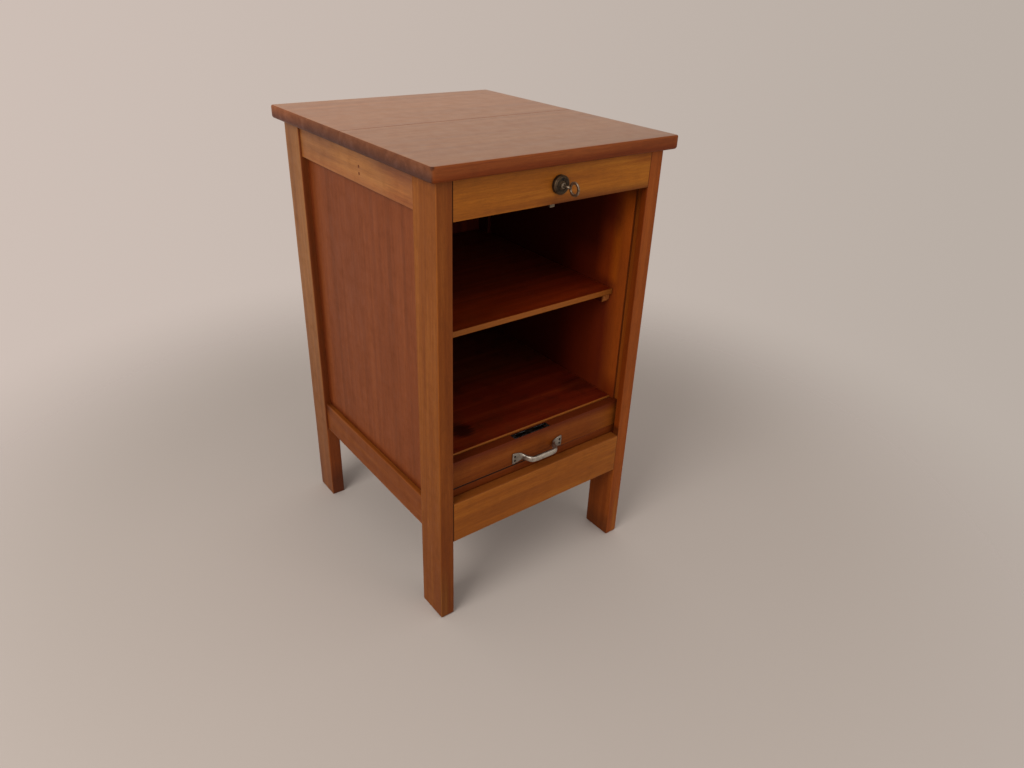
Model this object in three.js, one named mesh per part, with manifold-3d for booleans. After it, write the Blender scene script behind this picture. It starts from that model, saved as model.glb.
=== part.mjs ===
// A small filing cabinet in oiled wood: four legs joined by rails, a plywood panel let in at
// each side, an overhanging top of two boards, one loose shelf, and a slatted curtain that runs
// up the front. Open, the curtain has turned back under the floor board, as it stands here.
// Lengths are in millimetres. X runs left to right seen from the front, Y to the back, Z up.

import * as THREE from 'three';
import { mergeVertices } from 'three/addons/utils/BufferGeometryUtils.js';
import Module from 'manifold-3d';

const wasm = await Module();
wasm.setup();

// Whole cabinet
const overallHeight = 780;
const bodyWidth = 416.5;
const bodyDepth = 483.6;

// Clearances
const glueGap = 0.1;
const fitGap = 0.3;
const runGap = 1;
const overrun = 5;

// Top
const topThickness = 21.5;
const topOverhang = 15;
const topCornerRadius = 1.5;
const topEdgeRound = 3;
const topSeamSetForward = 3;

// Legs
const legWidth = 25.7;
const frontLegDepth = 59.4;
const backLegDepth = 55.6;
const legFootChamfer = 2;
const legLip = 13;

// Rails
const railThickness = 18;
const frontRailHeight = 77;
const lockRailHeight = 57;
const sideRailSetIn = 4;
const sideTopRailHeight = 53.6;
const sideBottomRailRise = 3.5;
const sideBottomRailHeight = 59;

// Opening in the front. The curtain lies under the floor, so its height follows the depth
const openingShare = 0.9605;
const shelfShare = 0.5877;

// Plywood panels
const sidePanelThickness = 5;
const sidePanelSetIn = 13.2;
const sidePanelRailLap = 9;
const backPanelThickness = 5;
const dustPanelThickness = 4;

// Floor board and shelf
const floorAboveLead = 2;
const floorThickness = 12;
const shelfThickness = 10;
const shelfSetBack = 59;
const cleatWidth = 13;
const cleatHeight = 18;
const cleatSetBack = 7;
const cleatNose = 6;

// Curtain
const slatCount = 18;
const slatGap = 0.6;
const slatThickness = 9.3;
const slatArris = 1;
const slatSetBack = 1;
const slatEndGap = 1;
const leadHeight = 50;
const leadThickness = 18;
const leadRestRise = 15;
const leadClosedLap = 1.5;
const bendHinges = 4;
const curtainCover = 16;

// Strike plate in the lead rail
const strikeOffset = -7;
const strikeLength = 76;
const strikeWidth = 13;
const strikeThickness = 1.5;
const strikeSlotSpacing = 42;
const strikeSlotLength = 22;
const strikeSlotWidth = 7;
const mortiseLength = 68;
const mortiseWidth = 9;
const mortiseDepth = 26;
const strikeScrewInset = 3;

// Handle
const handleOffset = 2;
const handleLength = 108;
const handleRise = 22;
const handleAboveLeadEdge = 13;
const footLength = 20;
const footOuterWidth = 21;
const footInnerWidth = 14;
const footThickness = 2.6;
const footCornerRadius = 2;
const bowHeight = 11;
const bowThickness = 6;
const handleScrewSpacing = 8;
const handleScrewInset = 4.5;
const bowEndShare = 0.6;

// Lock
const lockOffset = -2;
const lockAboveEdge = 27.5;
const flangeRadius = 14;
const flangeHeight = 8.2;
const flangeRound = 2.5;
const barrelRadius = 9.5;
const boreRadius = 6.6;
const plugClearance = 0.3;
const plugSetBack = 0.5;
const plugEndWall = 2;
const keywayWidth = 2.6;
const keywayHeight = 8.8;
const flangeScrewCircle = 9;
const lockCaseWidth = 44;
const lockCaseBottomAboveEdge = 12.5;
const lockCaseHeight = 40;
const lockCaseWall = 4;
const boltOffset = 9.5;
const boltWidth = 9;
const boltThickness = 4;
const boltLength = 46;
const boltReach = 14;
const boltNose = 2;
const boltTravel = 16.5;

// Key
const keyRingRadius = 10.5;
const keyRingHole = 6.3;
const keyRingThickness = 2.4;
const keyRingFromFace = 24;
const keyShankRadius = 2.4;
const keyCollarRadius = 4.2;
const keyCollarLength = 2;
const keyBladeThickness = 2;
const keyBladeHeight = 8;
const keyBladeLength = 21;
const keyCutShares = [0.3, 0.75, 0.45, 0.9, 0.6];
const keyCutDepthShare = 0.25;

// Screws
const handleScrewRadius = 2.2;
const strikeScrewRadius = 2;
const flangeScrewRadius = 1.9;
const screwHeadShare = 0.4;
const screwSlotShare = 0.3;
const screwSlotDepthShare = 0.5;
const flangeScrewDepth = 1.6;

// Where the main faces lie
const side = bodyWidth / 2;
const front = -bodyDepth / 2;
const back = bodyDepth / 2;
const frameTop = overallHeight - topThickness;
const legInner = side - legWidth;
const railEnd = legInner - glueGap;
const frontLegBack = front + frontLegDepth;
const backLegFront = back - backLegDepth;
const frontRailBack = front + railThickness;
const backRailFront = back - railThickness;
const lockRailBottom = frameTop - lockRailHeight;
const openingHeight = bodyDepth * openingShare;
const frontRailTop = lockRailBottom - openingHeight;
const frontRailBottom = frontRailTop - frontRailHeight;
const panelOuter = side - sidePanelSetIn;
const panelInner = panelOuter - sidePanelThickness;
const sideRailOuter = side - sideRailSetIn;
const sideTopRailBottom = frameTop - sideTopRailHeight;
const sideBottomRailBottom = frontRailBottom + sideBottomRailRise;
const sideBottomRailTop = sideBottomRailBottom + sideBottomRailHeight;
const backPanelFront = backRailFront - backPanelThickness;

// Curtain line: the cloth side of the slats is the line that the slats turn about
const leadFront = frontRailBack + runGap;
const leadBack = leadFront + leadThickness;
const leadMiddle = (leadFront + leadBack) / 2;
const leadBottom = frontRailTop + leadRestRise;
const leadTop = leadBottom + leadHeight;
const clothLine = leadFront + slatSetBack + slatThickness;
const slatEnd = panelOuter - slatEndGap;
const curtainTravel = lockRailBottom + leadClosedLap - leadTop;
const slatPitch = (curtainTravel + leadRestRise + curtainCover) / slatCount;
const quarterTurn = Math.PI / 2;
const bendStep = quarterTurn / bendHinges;

const slatLine = [];
let lineY = clothLine;
let lineZ = leadBottom;
for (let i = 0; i < slatCount; i++) {
  const turn = Math.min(i, bendHinges) * bendStep;
  slatLine.push({ y: lineY, z: lineZ, turn });
  lineY += slatPitch * Math.sin(turn);
  lineZ -= slatPitch * Math.cos(turn);
}
const tailTop = slatLine[bendHinges].z;
const dustPanelTop = tailTop - slatThickness - fitGap;
const dustPanelBottom = dustPanelTop - dustPanelThickness;

// Materials
const finish = (color, roughness, metalness = 0) =>
  new THREE.MeshStandardMaterial({ color, roughness, metalness });
const frameWood = () => finish(0xb97a3f, 0.45);
const railWood = () => finish(0xc48844, 0.42);
const topWood = () => finish(0xb98a63, 0.3);
const panelWood = () => finish(0xa3623a, 0.5);
const innerWood = () => finish(0x8a4426, 0.55);
const slatWood = () => finish(0x9c5c2c, 0.5);
const castMetal = () => finish(0xcfc9bb, 0.35, 0.9);
const brightSteel = () => finish(0xc9c5b8, 0.3, 1);
const darkSteel = () => finish(0x3c3a38, 0.45, 0.9);
const darkBronze = () => finish(0x4a3a2e, 0.4, 0.9);

// The group's origin is the middle of the space that the whole takes, on the ground
const keyReach = front - fitGap - flangeHeight - keyRingFromFace - keyRingRadius;
const topBackFace = back + topOverhang;
const cabinet = new THREE.Group();
cabinet.position.y = -(keyReach + topBackFace) / 2;

const addPiece = (name, geometry, material) => {
  const mesh = new THREE.Mesh(geometry, material);
  mesh.name = name;
  cabinet.add(mesh);
  return mesh;
};

// Solids
const block = (x, y, z) => {
  const geometry = new THREE.BoxGeometry(1, 1, 1);
  const points = geometry.attributes.position;
  for (let i = 0; i < points.count; i++) {
    points.setXYZ(
      i,
      points.getX(i) > 0 ? x[1] : x[0],
      points.getY(i) > 0 ? y[1] : y[0],
      points.getZ(i) > 0 ? z[1] : z[0],
    );
  }
  return geometry;
};

const outline = (points) => new THREE.Shape(points.map(([a, b]) => new THREE.Vector2(a, b)));

const toSolid = (geometry) => {
  const bare = geometry.index ? geometry.toNonIndexed() : geometry.clone();
  bare.deleteAttribute('normal');
  bare.deleteAttribute('uv');
  const merged = mergeVertices(bare);
  return new wasm.Manifold(
    new wasm.Mesh({
      numProp: 3,
      vertProperties: new Float32Array(merged.attributes.position.array),
      triVerts: new Uint32Array(merged.index.array),
    }),
  );
};

const toGeometry = (solid) => {
  const mesh = solid.getMesh();
  const geometry = new THREE.BufferGeometry();
  geometry.setAttribute('position', new THREE.BufferAttribute(mesh.vertProperties, mesh.numProp));
  geometry.setIndex(new THREE.BufferAttribute(mesh.triVerts, 1));
  geometry.computeVertexNormals();
  return geometry;
};

const cut = (geometry, ...tools) =>
  toGeometry(tools.reduce((solid, tool) => solid.subtract(toSolid(tool)), toSolid(geometry)));
const join = (geometry, ...others) =>
  toGeometry(others.reduce((solid, other) => solid.add(toSolid(other)), toSolid(geometry)));
const keep = (geometry, tool) => toGeometry(toSolid(geometry).intersect(toSolid(tool)));

// A flat outline in X and Y, raised from one height to another
const raised = (points, z) => {
  const geometry = new THREE.ExtrudeGeometry(outline(points), {
    depth: z[1] - z[0],
    bevelEnabled: false,
  });
  geometry.translate(0, 0, z[0]);
  return geometry;
};

// A section drawn in Y and Z, drawn out along X
const drawnOut = (points, x) => {
  const geometry = new THREE.ExtrudeGeometry(outline(points), {
    depth: x[1] - x[0],
    bevelEnabled: false,
  });
  geometry.rotateX(quarterTurn);
  geometry.rotateZ(quarterTurn);
  geometry.translate(x[0], 0, 0);
  return geometry;
};

// A profile of [radius, distance out to the front], turned about a line along Y through x, z
const turned = (profile, sides, x, y, z) => {
  const points = profile.map(([radius, out]) => new THREE.Vector2(radius, out));
  const geometry = new THREE.LatheGeometry(points, sides);
  geometry.rotateX(Math.PI);
  geometry.translate(x, y, z);
  return geometry;
};

const mirrored = (x) => [-x[1], -x[0]];
const bothSides = [
  ['left', mirrored],
  ['right', (x) => x],
];

// Top of two boards, rounded at the arrises and cut apart along the seam
const topHalfWidth = side + topOverhang;
const topHalfDepth = back + topOverhang;
const roundedOutline = (halfX, halfY, radius) => {
  const shape = new THREE.Shape();
  const straightX = halfX - radius;
  const straightY = halfY - radius;
  shape.absarc(straightX, -straightY, radius, -quarterTurn, 0, false);
  shape.absarc(straightX, straightY, radius, 0, quarterTurn, false);
  shape.absarc(-straightX, straightY, radius, quarterTurn, Math.PI, false);
  shape.absarc(-straightX, -straightY, radius, Math.PI, Math.PI + quarterTurn, false);
  return shape;
};
const topBlank = new THREE.ExtrudeGeometry(
  roundedOutline(topHalfWidth - topEdgeRound, topHalfDepth - topEdgeRound, topCornerRadius),
  {
    depth: topThickness - topEdgeRound - topEdgeRound,
    bevelThickness: topEdgeRound,
    bevelSize: topEdgeRound,
    bevelSegments: 2,
    curveSegments: 4,
  },
);
topBlank.translate(0, 0, frameTop + topEdgeRound);
const seamLine = -topSeamSetForward;
const topAllX = [-topHalfWidth - overrun, topHalfWidth + overrun];
const topAllZ = [frameTop - overrun, overallHeight + overrun];
const topFrontHalf = block(topAllX, [-topHalfDepth - overrun, seamLine - glueGap], topAllZ);
const topBackHalf = block(topAllX, [seamLine, topHalfDepth + overrun], topAllZ);
addPiece('top_board_front', keep(topBlank, topFrontHalf), topWood());
addPiece('top_board_back', keep(topBlank, topBackHalf), topWood());

// Legs. Behind its lip each front leg is thinned for the curtain and the side panel
const legBlank = (x, y) => {
  const c = legFootChamfer;
  const corners = [
    [x[0] + c, y[0] + c],
    [x[1] - c, y[0] + c],
    [x[1] - c, y[1] - c],
    [x[0] + c, y[1] - c],
  ];
  const geometry = new THREE.ExtrudeGeometry(outline(corners), {
    depth: frameTop - c,
    bevelThickness: c,
    bevelSize: c,
    bevelSegments: 1,
  });
  geometry.translate(0, 0, c);
  const above = [frameTop - glueGap, frameTop + overrun];
  return cut(geometry, block([x[0] - overrun, x[1] + overrun], [y[0] - overrun, y[1] + overrun], above));
};
for (const [name, placed] of bothSides) {
  const legX = placed([legInner, side]);
  const thinned = block(
    placed([legInner - overrun, panelOuter]),
    [front + legLip, frontLegBack + overrun],
    [dustPanelBottom - glueGap, frameTop + overrun],
  );
  addPiece(`leg_front_${name}`, cut(legBlank(legX, [front, frontLegBack]), thinned), frameWood());
  addPiece(`leg_back_${name}`, legBlank(legX, [backLegFront, back]), frameWood());
}

// Rails
const betweenLegs = [-railEnd, railEnd];
const railsTop = frameTop - glueGap;
const rail = (name, x, y, z, material) => addPiece(name, block(x, y, z), material);
rail('front_bottom_rail', betweenLegs, [front, frontRailBack], [frontRailBottom, frontRailTop], railWood());
rail('back_bottom_rail', betweenLegs, [backRailFront, back], [frontRailBottom, frontRailTop], frameWood());
rail('back_top_rail', betweenLegs, [backRailFront, back], [sideTopRailBottom, railsTop], frameWood());
for (const [name, placed] of bothSides) {
  const x = placed([panelOuter + glueGap, sideRailOuter]);
  const y = [frontLegBack + glueGap, backLegFront - glueGap];
  rail(`side_top_rail_${name}`, x, y, [sideTopRailBottom, railsTop], frameWood());
  rail(`side_bottom_rail_${name}`, x, y, [sideBottomRailBottom, sideBottomRailTop], frameWood());
}

// Lock rail with the hole for the lock's barrel
const lockHeight = lockRailBottom + lockAboveEdge;
const barrelHole = turned(
  [
    [0, -overrun],
    [barrelRadius + fitGap, -overrun],
    [barrelRadius + fitGap, railThickness + overrun],
    [0, railThickness + overrun],
  ],
  24,
  lockOffset,
  frontRailBack,
  lockHeight,
);
const lockRailBlank = block(betweenLegs, [front, frontRailBack], [lockRailBottom, railsTop]);
addPiece('lock_rail', cut(lockRailBlank, barrelHole), railWood());

// Panels
const panelFront = clothLine + runGap;
const panelBottom = sideBottomRailTop - sidePanelRailLap;
const bendTop = slatLine[1].z + runGap;
const panelSection = [
  [panelFront, bendTop],
  [frontLegBack, bendTop],
  [frontLegBack, panelBottom],
  [backLegFront - glueGap, panelBottom],
  [backLegFront - glueGap, railsTop],
  [panelFront, railsTop],
];
for (const [name, placed] of bothSides) {
  const x = placed([panelInner, panelOuter - glueGap]);
  addPiece(`side_panel_${name}`, drawnOut(panelSection, x), panelWood());
}
const backPanelZ = [dustPanelTop + glueGap, railsTop];
addPiece(
  'back_panel',
  block(betweenLegs, [backPanelFront, backRailFront - glueGap], backPanelZ),
  panelWood(),
);

// Boards that reach the back panel are notched round the back legs
const notched = (halfWidth, y, z) => {
  const neck = legInner - fitGap;
  const shoulder = backLegFront - fitGap;
  return raised(
    [
      [-halfWidth, y[0]],
      [halfWidth, y[0]],
      [halfWidth, shoulder],
      [neck, shoulder],
      [neck, y[1]],
      [-neck, y[1]],
      [-neck, shoulder],
      [-halfWidth, shoulder],
    ],
    z,
  );
};
const boardBack = backPanelFront - fitGap;
const floorFront = leadBack + runGap + fitGap;
const floorTop = leadTop + floorAboveLead;
const floorBottom = floorTop - floorThickness;
addPiece(
  'floor_board',
  notched(panelInner - fitGap, [floorFront, boardBack], [floorBottom, floorTop]),
  innerWood(),
);
addPiece(
  'dust_panel',
  notched(panelOuter - fitGap, [frontRailBack + fitGap, backRailFront - fitGap], [
    dustPanelBottom,
    dustPanelTop,
  ]),
  panelWood(),
);

// Loose shelf on two cleats with rounded front ends
const shelfFront = front + shelfSetBack;
const shelfTop = frontRailTop + openingHeight * shelfShare;
const shelfBottom = shelfTop - shelfThickness;
addPiece(
  'shelf',
  notched(panelInner - runGap, [shelfFront, boardBack], [shelfBottom, shelfTop]),
  innerWood(),
);
const cleat = (name, placed, top, y) => {
  const reach = panelInner - glueGap;
  const inner = reach - cleatWidth;
  const z = [top - cleatHeight, top];
  const corners = [
    [y[0] + cleatNose, z[0]],
    [y[1], z[0]],
    [y[1], z[1]],
    [y[0], z[1]],
    [y[0], z[0] + cleatNose],
  ];
  addPiece(name, drawnOut(corners, placed([inner, reach])), innerWood());
};
const cleatBack = backLegFront - fitGap;
for (const [name, placed] of bothSides) {
  cleat(`shelf_cleat_${name}`, placed, shelfBottom - fitGap, [shelfFront + cleatSetBack, cleatBack]);
  cleat(`floor_cleat_${name}`, placed, floorBottom - fitGap, [floorFront + cleatSetBack, cleatBack]);
}

// Curtain slats. Each is one section, drawn out along X, set down on the curtain line
const slatSection = [
  [0, -slatGap / 2],
  [-slatThickness + slatArris, -slatGap / 2],
  [-slatThickness, -slatGap / 2 - slatArris],
  [-slatThickness, slatGap / 2 + slatArris - slatPitch],
  [-slatThickness + slatArris, slatGap / 2 - slatPitch],
  [0, slatGap / 2 - slatPitch],
];
slatLine.forEach(({ y, z, turn }, i) => {
  const slat = addPiece(
    `slat_${String(i + 1).padStart(2, '0')}`,
    drawnOut(slatSection, [-slatEnd, slatEnd]),
    slatWood(),
  );
  slat.position.set(0, y, z);
  slat.rotation.x = turn;
});

// Blocks in the corner behind the front legs that guide the slats round the bend. The bend
// starts under the last slat, which hangs straight when the curtain is shut
const outward = (turn, distance) => [-Math.cos(turn) * distance, -Math.sin(turn) * distance];
const guideReach = (slatThickness + fitGap) / Math.cos(bendStep / 2);
const guideCurve = slatLine.slice(1, bendHinges + 1).map(({ y, z, turn }) => {
  const [dy, dz] = outward(turn - bendStep / 2, guideReach);
  return [y + dy, z + dz];
});
const shutFoot = leadBottom + curtainTravel - slatCount * slatPitch;
const [guideFace, bendStart] = guideCurve[0];
const guideFront = front + legLip + fitGap;
const guideTop = bendStart + slatThickness;
const guideSection = [
  [guideFront, dustPanelTop + fitGap],
  [guideFront, guideTop],
  [guideFace, guideTop],
  [guideFace, Math.min(bendStart, shutFoot)],
  ...guideCurve.slice(1, -1),
  [guideCurve.at(-1)[0], dustPanelTop + fitGap],
].reverse();
for (const [name, placed] of bothSides) {
  const x = placed([legInner + fitGap, panelOuter - fitGap]);
  addPiece(`bend_guide_${name}`, drawnOut(guideSection, x), frameWood());
}

// Lead rail of the curtain, thinned at both ends, with a mortise under the strike plate
const leadTongue = panelInner - runGap;
const leadX = [-slatEnd, slatEnd];
const leadZ = [leadBottom, leadTop];
const around = (middle, size) => [middle - size / 2, middle + size / 2];
const mortise = block(
  around(strikeOffset, mortiseLength),
  around(leadMiddle, mortiseWidth),
  [leadTop - mortiseDepth, leadTop + overrun],
);
const plateSeat = block(
  around(strikeOffset, strikeLength + fitGap + fitGap),
  around(leadMiddle, strikeWidth + fitGap + fitGap),
  [leadTop - strikeThickness - fitGap, leadTop + overrun],
);
const leadThinned = bothSides.map(([, placed]) =>
  block(
    placed([leadTongue, slatEnd + overrun]),
    [clothLine, leadBack + overrun],
    [leadBottom - overrun, leadTop + overrun],
  ),
);
addPiece(
  'lead_rail',
  cut(block(leadX, [leadFront, leadBack], leadZ), mortise, plateSeat, ...leadThinned),
  railWood(),
);

// Strike plate with two slots
const plateZ = [leadTop - strikeThickness, leadTop];
const slotCuts = [-1, 1].map((way) =>
  block(
    around(strikeOffset + (way * strikeSlotSpacing) / 2, strikeSlotLength),
    around(leadMiddle, strikeSlotWidth),
    [plateZ[0] - overrun, plateZ[1] + overrun],
  ),
);
addPiece(
  'strike_plate',
  cut(block(around(strikeOffset, strikeLength), around(leadMiddle, strikeWidth), plateZ), ...slotCuts),
  brightSteel(),
);

// A domed screw head with a driver slot, standing on a face at distance zero
const screwHead = (radius, slotTurn) => {
  const height = radius * screwHeadShare;
  const slot = (radius * screwSlotShare) / 2;
  const dome = new THREE.LatheGeometry(
    [
      new THREE.Vector2(0, 0),
      new THREE.Vector2(radius, 0),
      new THREE.Vector2(radius, height / 2),
      new THREE.Vector2(radius - height / 2, height),
      new THREE.Vector2(0, height),
    ],
    16,
  );
  const groove = block(
    [-radius - overrun, radius + overrun],
    [height - height * screwSlotDepthShare, height + overrun],
    [-slot, slot],
  );
  const geometry = cut(dome, groove);
  geometry.rotateY(slotTurn);
  return geometry;
};
for (const [i, name] of ['left', 'right'].entries()) {
  const head = screwHead(strikeScrewRadius, quarterTurn * (i + 1) * screwSlotShare);
  head.rotateX(quarterTurn);
  const way = i * 2 - 1;
  const screw = addPiece(`strike_screw_${name}`, head, darkSteel());
  screw.position.set(
    strikeOffset + way * (strikeLength / 2 - strikeScrewInset),
    leadMiddle,
    leadTop,
  );
}

// Handle: two fan-shaped feet and a flattened bow, one casting
const handleHeight = leadBottom + handleAboveLeadEdge;
const halfHandle = handleLength / 2;
const footShape = (way) => {
  const outer = way * halfHandle;
  const inner = way * (halfHandle - footLength);
  const r = way * footCornerRadius;
  const a = footOuterWidth / 2;
  const b = footInnerWidth / 2;
  const corners = [
    [inner, -b],
    [outer - r, -a],
    [outer, -a + footCornerRadius],
    [outer, a - footCornerRadius],
    [outer - r, a],
    [inner, b],
  ];
  const shape = outline(way > 0 ? corners : corners.reverse());
  const geometry = new THREE.ExtrudeGeometry(shape, { depth: footThickness, bevelEnabled: false });
  geometry.rotateX(quarterTurn);
  return geometry;
};
const bowEnd = halfHandle - footLength * bowEndShare;
const bowShares = [
  [1, 0.05],
  [0.84, 0.12],
  [0.75, 0.46],
  [0.64, 0.85],
  [0.48, 0.98],
  [0.2, 1],
];
const bowHalf = bowShares.map(([along, out]) => [along * bowEnd, out * handleRise]);
const bowPoints = [
  ...bowHalf.map(([x, d]) => new THREE.Vector3(-x, -d, 0)),
  ...bowHalf.map(([x, d]) => new THREE.Vector3(x, -d, 0)).reverse(),
];
const bowSection = new THREE.Shape();
bowSection.absellipse(0, 0, bowHeight / 2, bowThickness / 2, 0, Math.PI * 2, false, 0);
const bow = new THREE.ExtrudeGeometry(bowSection, {
  steps: 22,
  curveSegments: 5,
  bevelEnabled: false,
  extrudePath: new THREE.CatmullRomCurve3(bowPoints),
});
const behindHandle = block(
  [-handleLength, handleLength],
  [0, handleRise],
  [-footOuterWidth, footOuterWidth],
);
const handleSolid = cut(join(bow, footShape(-1), footShape(1)), behindHandle);
const handle = addPiece('handle', handleSolid, castMetal());
const handleFace = leadFront - fitGap;
handle.position.set(handleOffset, handleFace, handleHeight);

const screwSpots = ['upper_left', 'lower_left', 'upper_right', 'lower_right'];
screwSpots.forEach((name, i) => {
  const way = i < 2 ? -1 : 1;
  const up = i % 2 ? -1 : 1;
  const head = screwHead(handleScrewRadius, quarterTurn * i * screwSlotShare);
  head.rotateX(Math.PI);
  const screw = addPiece(`handle_screw_${name}`, head, darkSteel());
  screw.position.set(
    handleOffset + way * (halfHandle - handleScrewInset),
    handleFace - footThickness,
    handleHeight + (up * handleScrewSpacing) / 2,
  );
});

// Lock: a domed flange with its barrel through the lock rail
const flangeBack = front - fitGap;
const lockFace = flangeBack - flangeHeight;
const barrelLength = railThickness;
const flangeRing = turned(
  [
    [boreRadius, -barrelLength],
    [barrelRadius, -barrelLength],
    [barrelRadius, 0],
    [flangeRadius, 0],
    [flangeRadius, flangeHeight - flangeRound],
    [flangeRadius - flangeRound, flangeHeight],
    [boreRadius, flangeHeight],
    [boreRadius, -barrelLength],
  ],
  28,
  lockOffset,
  flangeBack,
  lockHeight,
);
const screwWell = turned(
  [
    [0, -flangeScrewDepth],
    [flangeScrewRadius + fitGap, -flangeScrewDepth],
    [flangeScrewRadius + fitGap, overrun],
    [0, overrun],
  ],
  16,
  lockOffset,
  lockFace,
  lockHeight + flangeScrewCircle,
);
addPiece('lock_flange', cut(flangeRing, screwWell), darkBronze());

const flangeScrewHead = screwHead(flangeScrewRadius, quarterTurn * screwSlotShare);
flangeScrewHead.rotateX(Math.PI);
const flangeScrew = addPiece('flange_screw', flangeScrewHead, darkSteel());
flangeScrew.position.set(lockOffset, lockFace + flangeScrewDepth, lockHeight + flangeScrewCircle);

// Plug that the key turns, with its keyway
const plugRadius = boreRadius - plugClearance;
const plugFace = lockFace + plugSetBack;
const plugBack = frontRailBack - fitGap - fitGap;
const plugBlank = turned(
  [
    [0, 0],
    [plugRadius, 0],
    [plugRadius, plugBack - plugFace],
    [0, plugBack - plugFace],
  ],
  24,
  lockOffset,
  plugBack,
  lockHeight,
);
const keyway = block(
  around(lockOffset, keywayWidth),
  [plugFace - overrun, plugBack - plugEndWall],
  around(lockHeight, keywayHeight),
);
addPiece('lock_plug', cut(plugBlank, keyway), darkBronze());

// Key: ring bow, shank, collar and a flat blade with its cuts
const keyFace = plugFace - fitGap;
const bladeTip = keyFace + keyBladeLength;
const bladeCutDepth = keyBladeHeight * keyCutDepthShare;
const bladeBottom = lockHeight - keyBladeHeight / 2;
const bladeStep = keyBladeLength / (keyCutShares.length + 1);
const bladeCuts = keyCutShares.map((share, i) => [
  keyFace + bladeStep * (i + 1),
  bladeBottom + bladeCutDepth * share,
]);
const bladeSection = [
  [keyFace - keyCollarLength, bladeBottom + bladeCutDepth],
  [keyFace, bladeBottom],
  ...bladeCuts,
  [bladeTip, lockHeight],
  [bladeTip - bladeStep / 2, lockHeight + keyBladeHeight / 2],
  [keyFace - keyCollarLength, lockHeight + keyBladeHeight / 2],
];
const blade = drawnOut(bladeSection, around(lockOffset, keyBladeThickness));
const ringMiddle = lockFace - keyRingFromFace;
const ringShape = new THREE.Shape();
ringShape.absarc(ringMiddle, lockHeight, keyRingRadius, 0, Math.PI * 2, false);
const ringHole = new THREE.Path();
ringHole.absarc(ringMiddle, lockHeight, keyRingHole, 0, Math.PI * 2, true);
ringShape.holes.push(ringHole);
const ringBow = new THREE.ExtrudeGeometry(ringShape, {
  depth: keyRingThickness,
  bevelEnabled: false,
  curveSegments: 12,
});
ringBow.rotateX(quarterTurn);
ringBow.rotateZ(quarterTurn);
ringBow.translate(lockOffset - keyRingThickness / 2, 0, 0);
const shankFront = ringMiddle + (keyRingRadius + keyRingHole) / 2;
const shank = turned(
  [
    [0, 0],
    [keyCollarRadius, 0],
    [keyCollarRadius, keyCollarLength],
    [keyShankRadius, keyCollarLength],
    [keyShankRadius, keyFace - shankFront],
    [0, keyFace - shankFront],
  ],
  16,
  lockOffset,
  keyFace,
  lockHeight,
);
addPiece('key', join(ringBow, shank, blade), brightSteel());

// Lock case behind the rail, open below for the bolt
const caseX = around(lockOffset, lockCaseWidth);
const caseBottom = lockRailBottom + lockCaseBottomAboveEdge;
const caseZ = [caseBottom, caseBottom + lockCaseHeight];
const caseFront = frontRailBack + glueGap;
const boltY = around(leadMiddle, boltThickness);
const boltX = around(boltOffset, boltWidth);
const boltBottom = lockRailBottom - boltReach;
const boltTop = boltBottom + boltLength;
const channel = block(
  [boltX[0] - fitGap, boltX[1] + fitGap],
  [boltY[0] - fitGap, boltY[1] + fitGap],
  [caseBottom - overrun, boltTop + boltTravel + fitGap],
);
addPiece(
  'lock_case',
  cut(block(caseX, [caseFront, boltY[1] + lockCaseWall], caseZ), channel),
  darkSteel(),
);
const boltOutline = [
  [boltX[0] + boltNose, boltBottom],
  [boltX[1] - boltNose, boltBottom],
  [boltX[1], boltBottom + boltNose],
  [boltX[1], boltTop],
  [boltX[0], boltTop],
  [boltX[0], boltBottom + boltNose],
];
const boltGeometry = new THREE.ExtrudeGeometry(outline(boltOutline), {
  depth: boltThickness,
  bevelEnabled: false,
});
boltGeometry.rotateX(quarterTurn);
boltGeometry.translate(0, boltY[1], 0);
addPiece('lock_bolt', boltGeometry, brightSteel());

export default cabinet;
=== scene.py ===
import math
from functools import partial
import bmesh
import bpy
import numpy as np
from mathutils import Matrix, Vector


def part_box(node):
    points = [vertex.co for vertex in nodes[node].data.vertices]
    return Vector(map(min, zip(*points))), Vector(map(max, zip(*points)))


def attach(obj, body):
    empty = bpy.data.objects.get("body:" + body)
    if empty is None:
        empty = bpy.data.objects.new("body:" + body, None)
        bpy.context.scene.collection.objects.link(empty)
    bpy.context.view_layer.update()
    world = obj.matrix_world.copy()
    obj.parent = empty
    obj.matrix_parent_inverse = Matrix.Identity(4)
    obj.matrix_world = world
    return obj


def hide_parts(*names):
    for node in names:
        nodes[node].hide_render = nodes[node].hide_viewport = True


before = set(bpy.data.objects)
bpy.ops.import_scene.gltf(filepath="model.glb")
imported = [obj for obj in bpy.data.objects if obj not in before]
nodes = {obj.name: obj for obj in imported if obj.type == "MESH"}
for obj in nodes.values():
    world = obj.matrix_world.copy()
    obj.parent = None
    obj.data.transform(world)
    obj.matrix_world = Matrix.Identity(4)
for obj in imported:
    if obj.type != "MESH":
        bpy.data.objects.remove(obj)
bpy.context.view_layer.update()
mm = 0.001
print("frame loaded with", len(nodes), "solids")


# Colours and nodes

def linearColour(hexText):
    # sRGB to linear
    srgb = np.array([int(hexText[i:i + 2], 16) for i in (1, 3, 5)]) / 255
    linear = np.where(srgb < 0.04045, srgb / 12.92, ((srgb + 0.055) / 1.055) ** 2.4)
    return (*linear.tolist(), 1.0)


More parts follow.
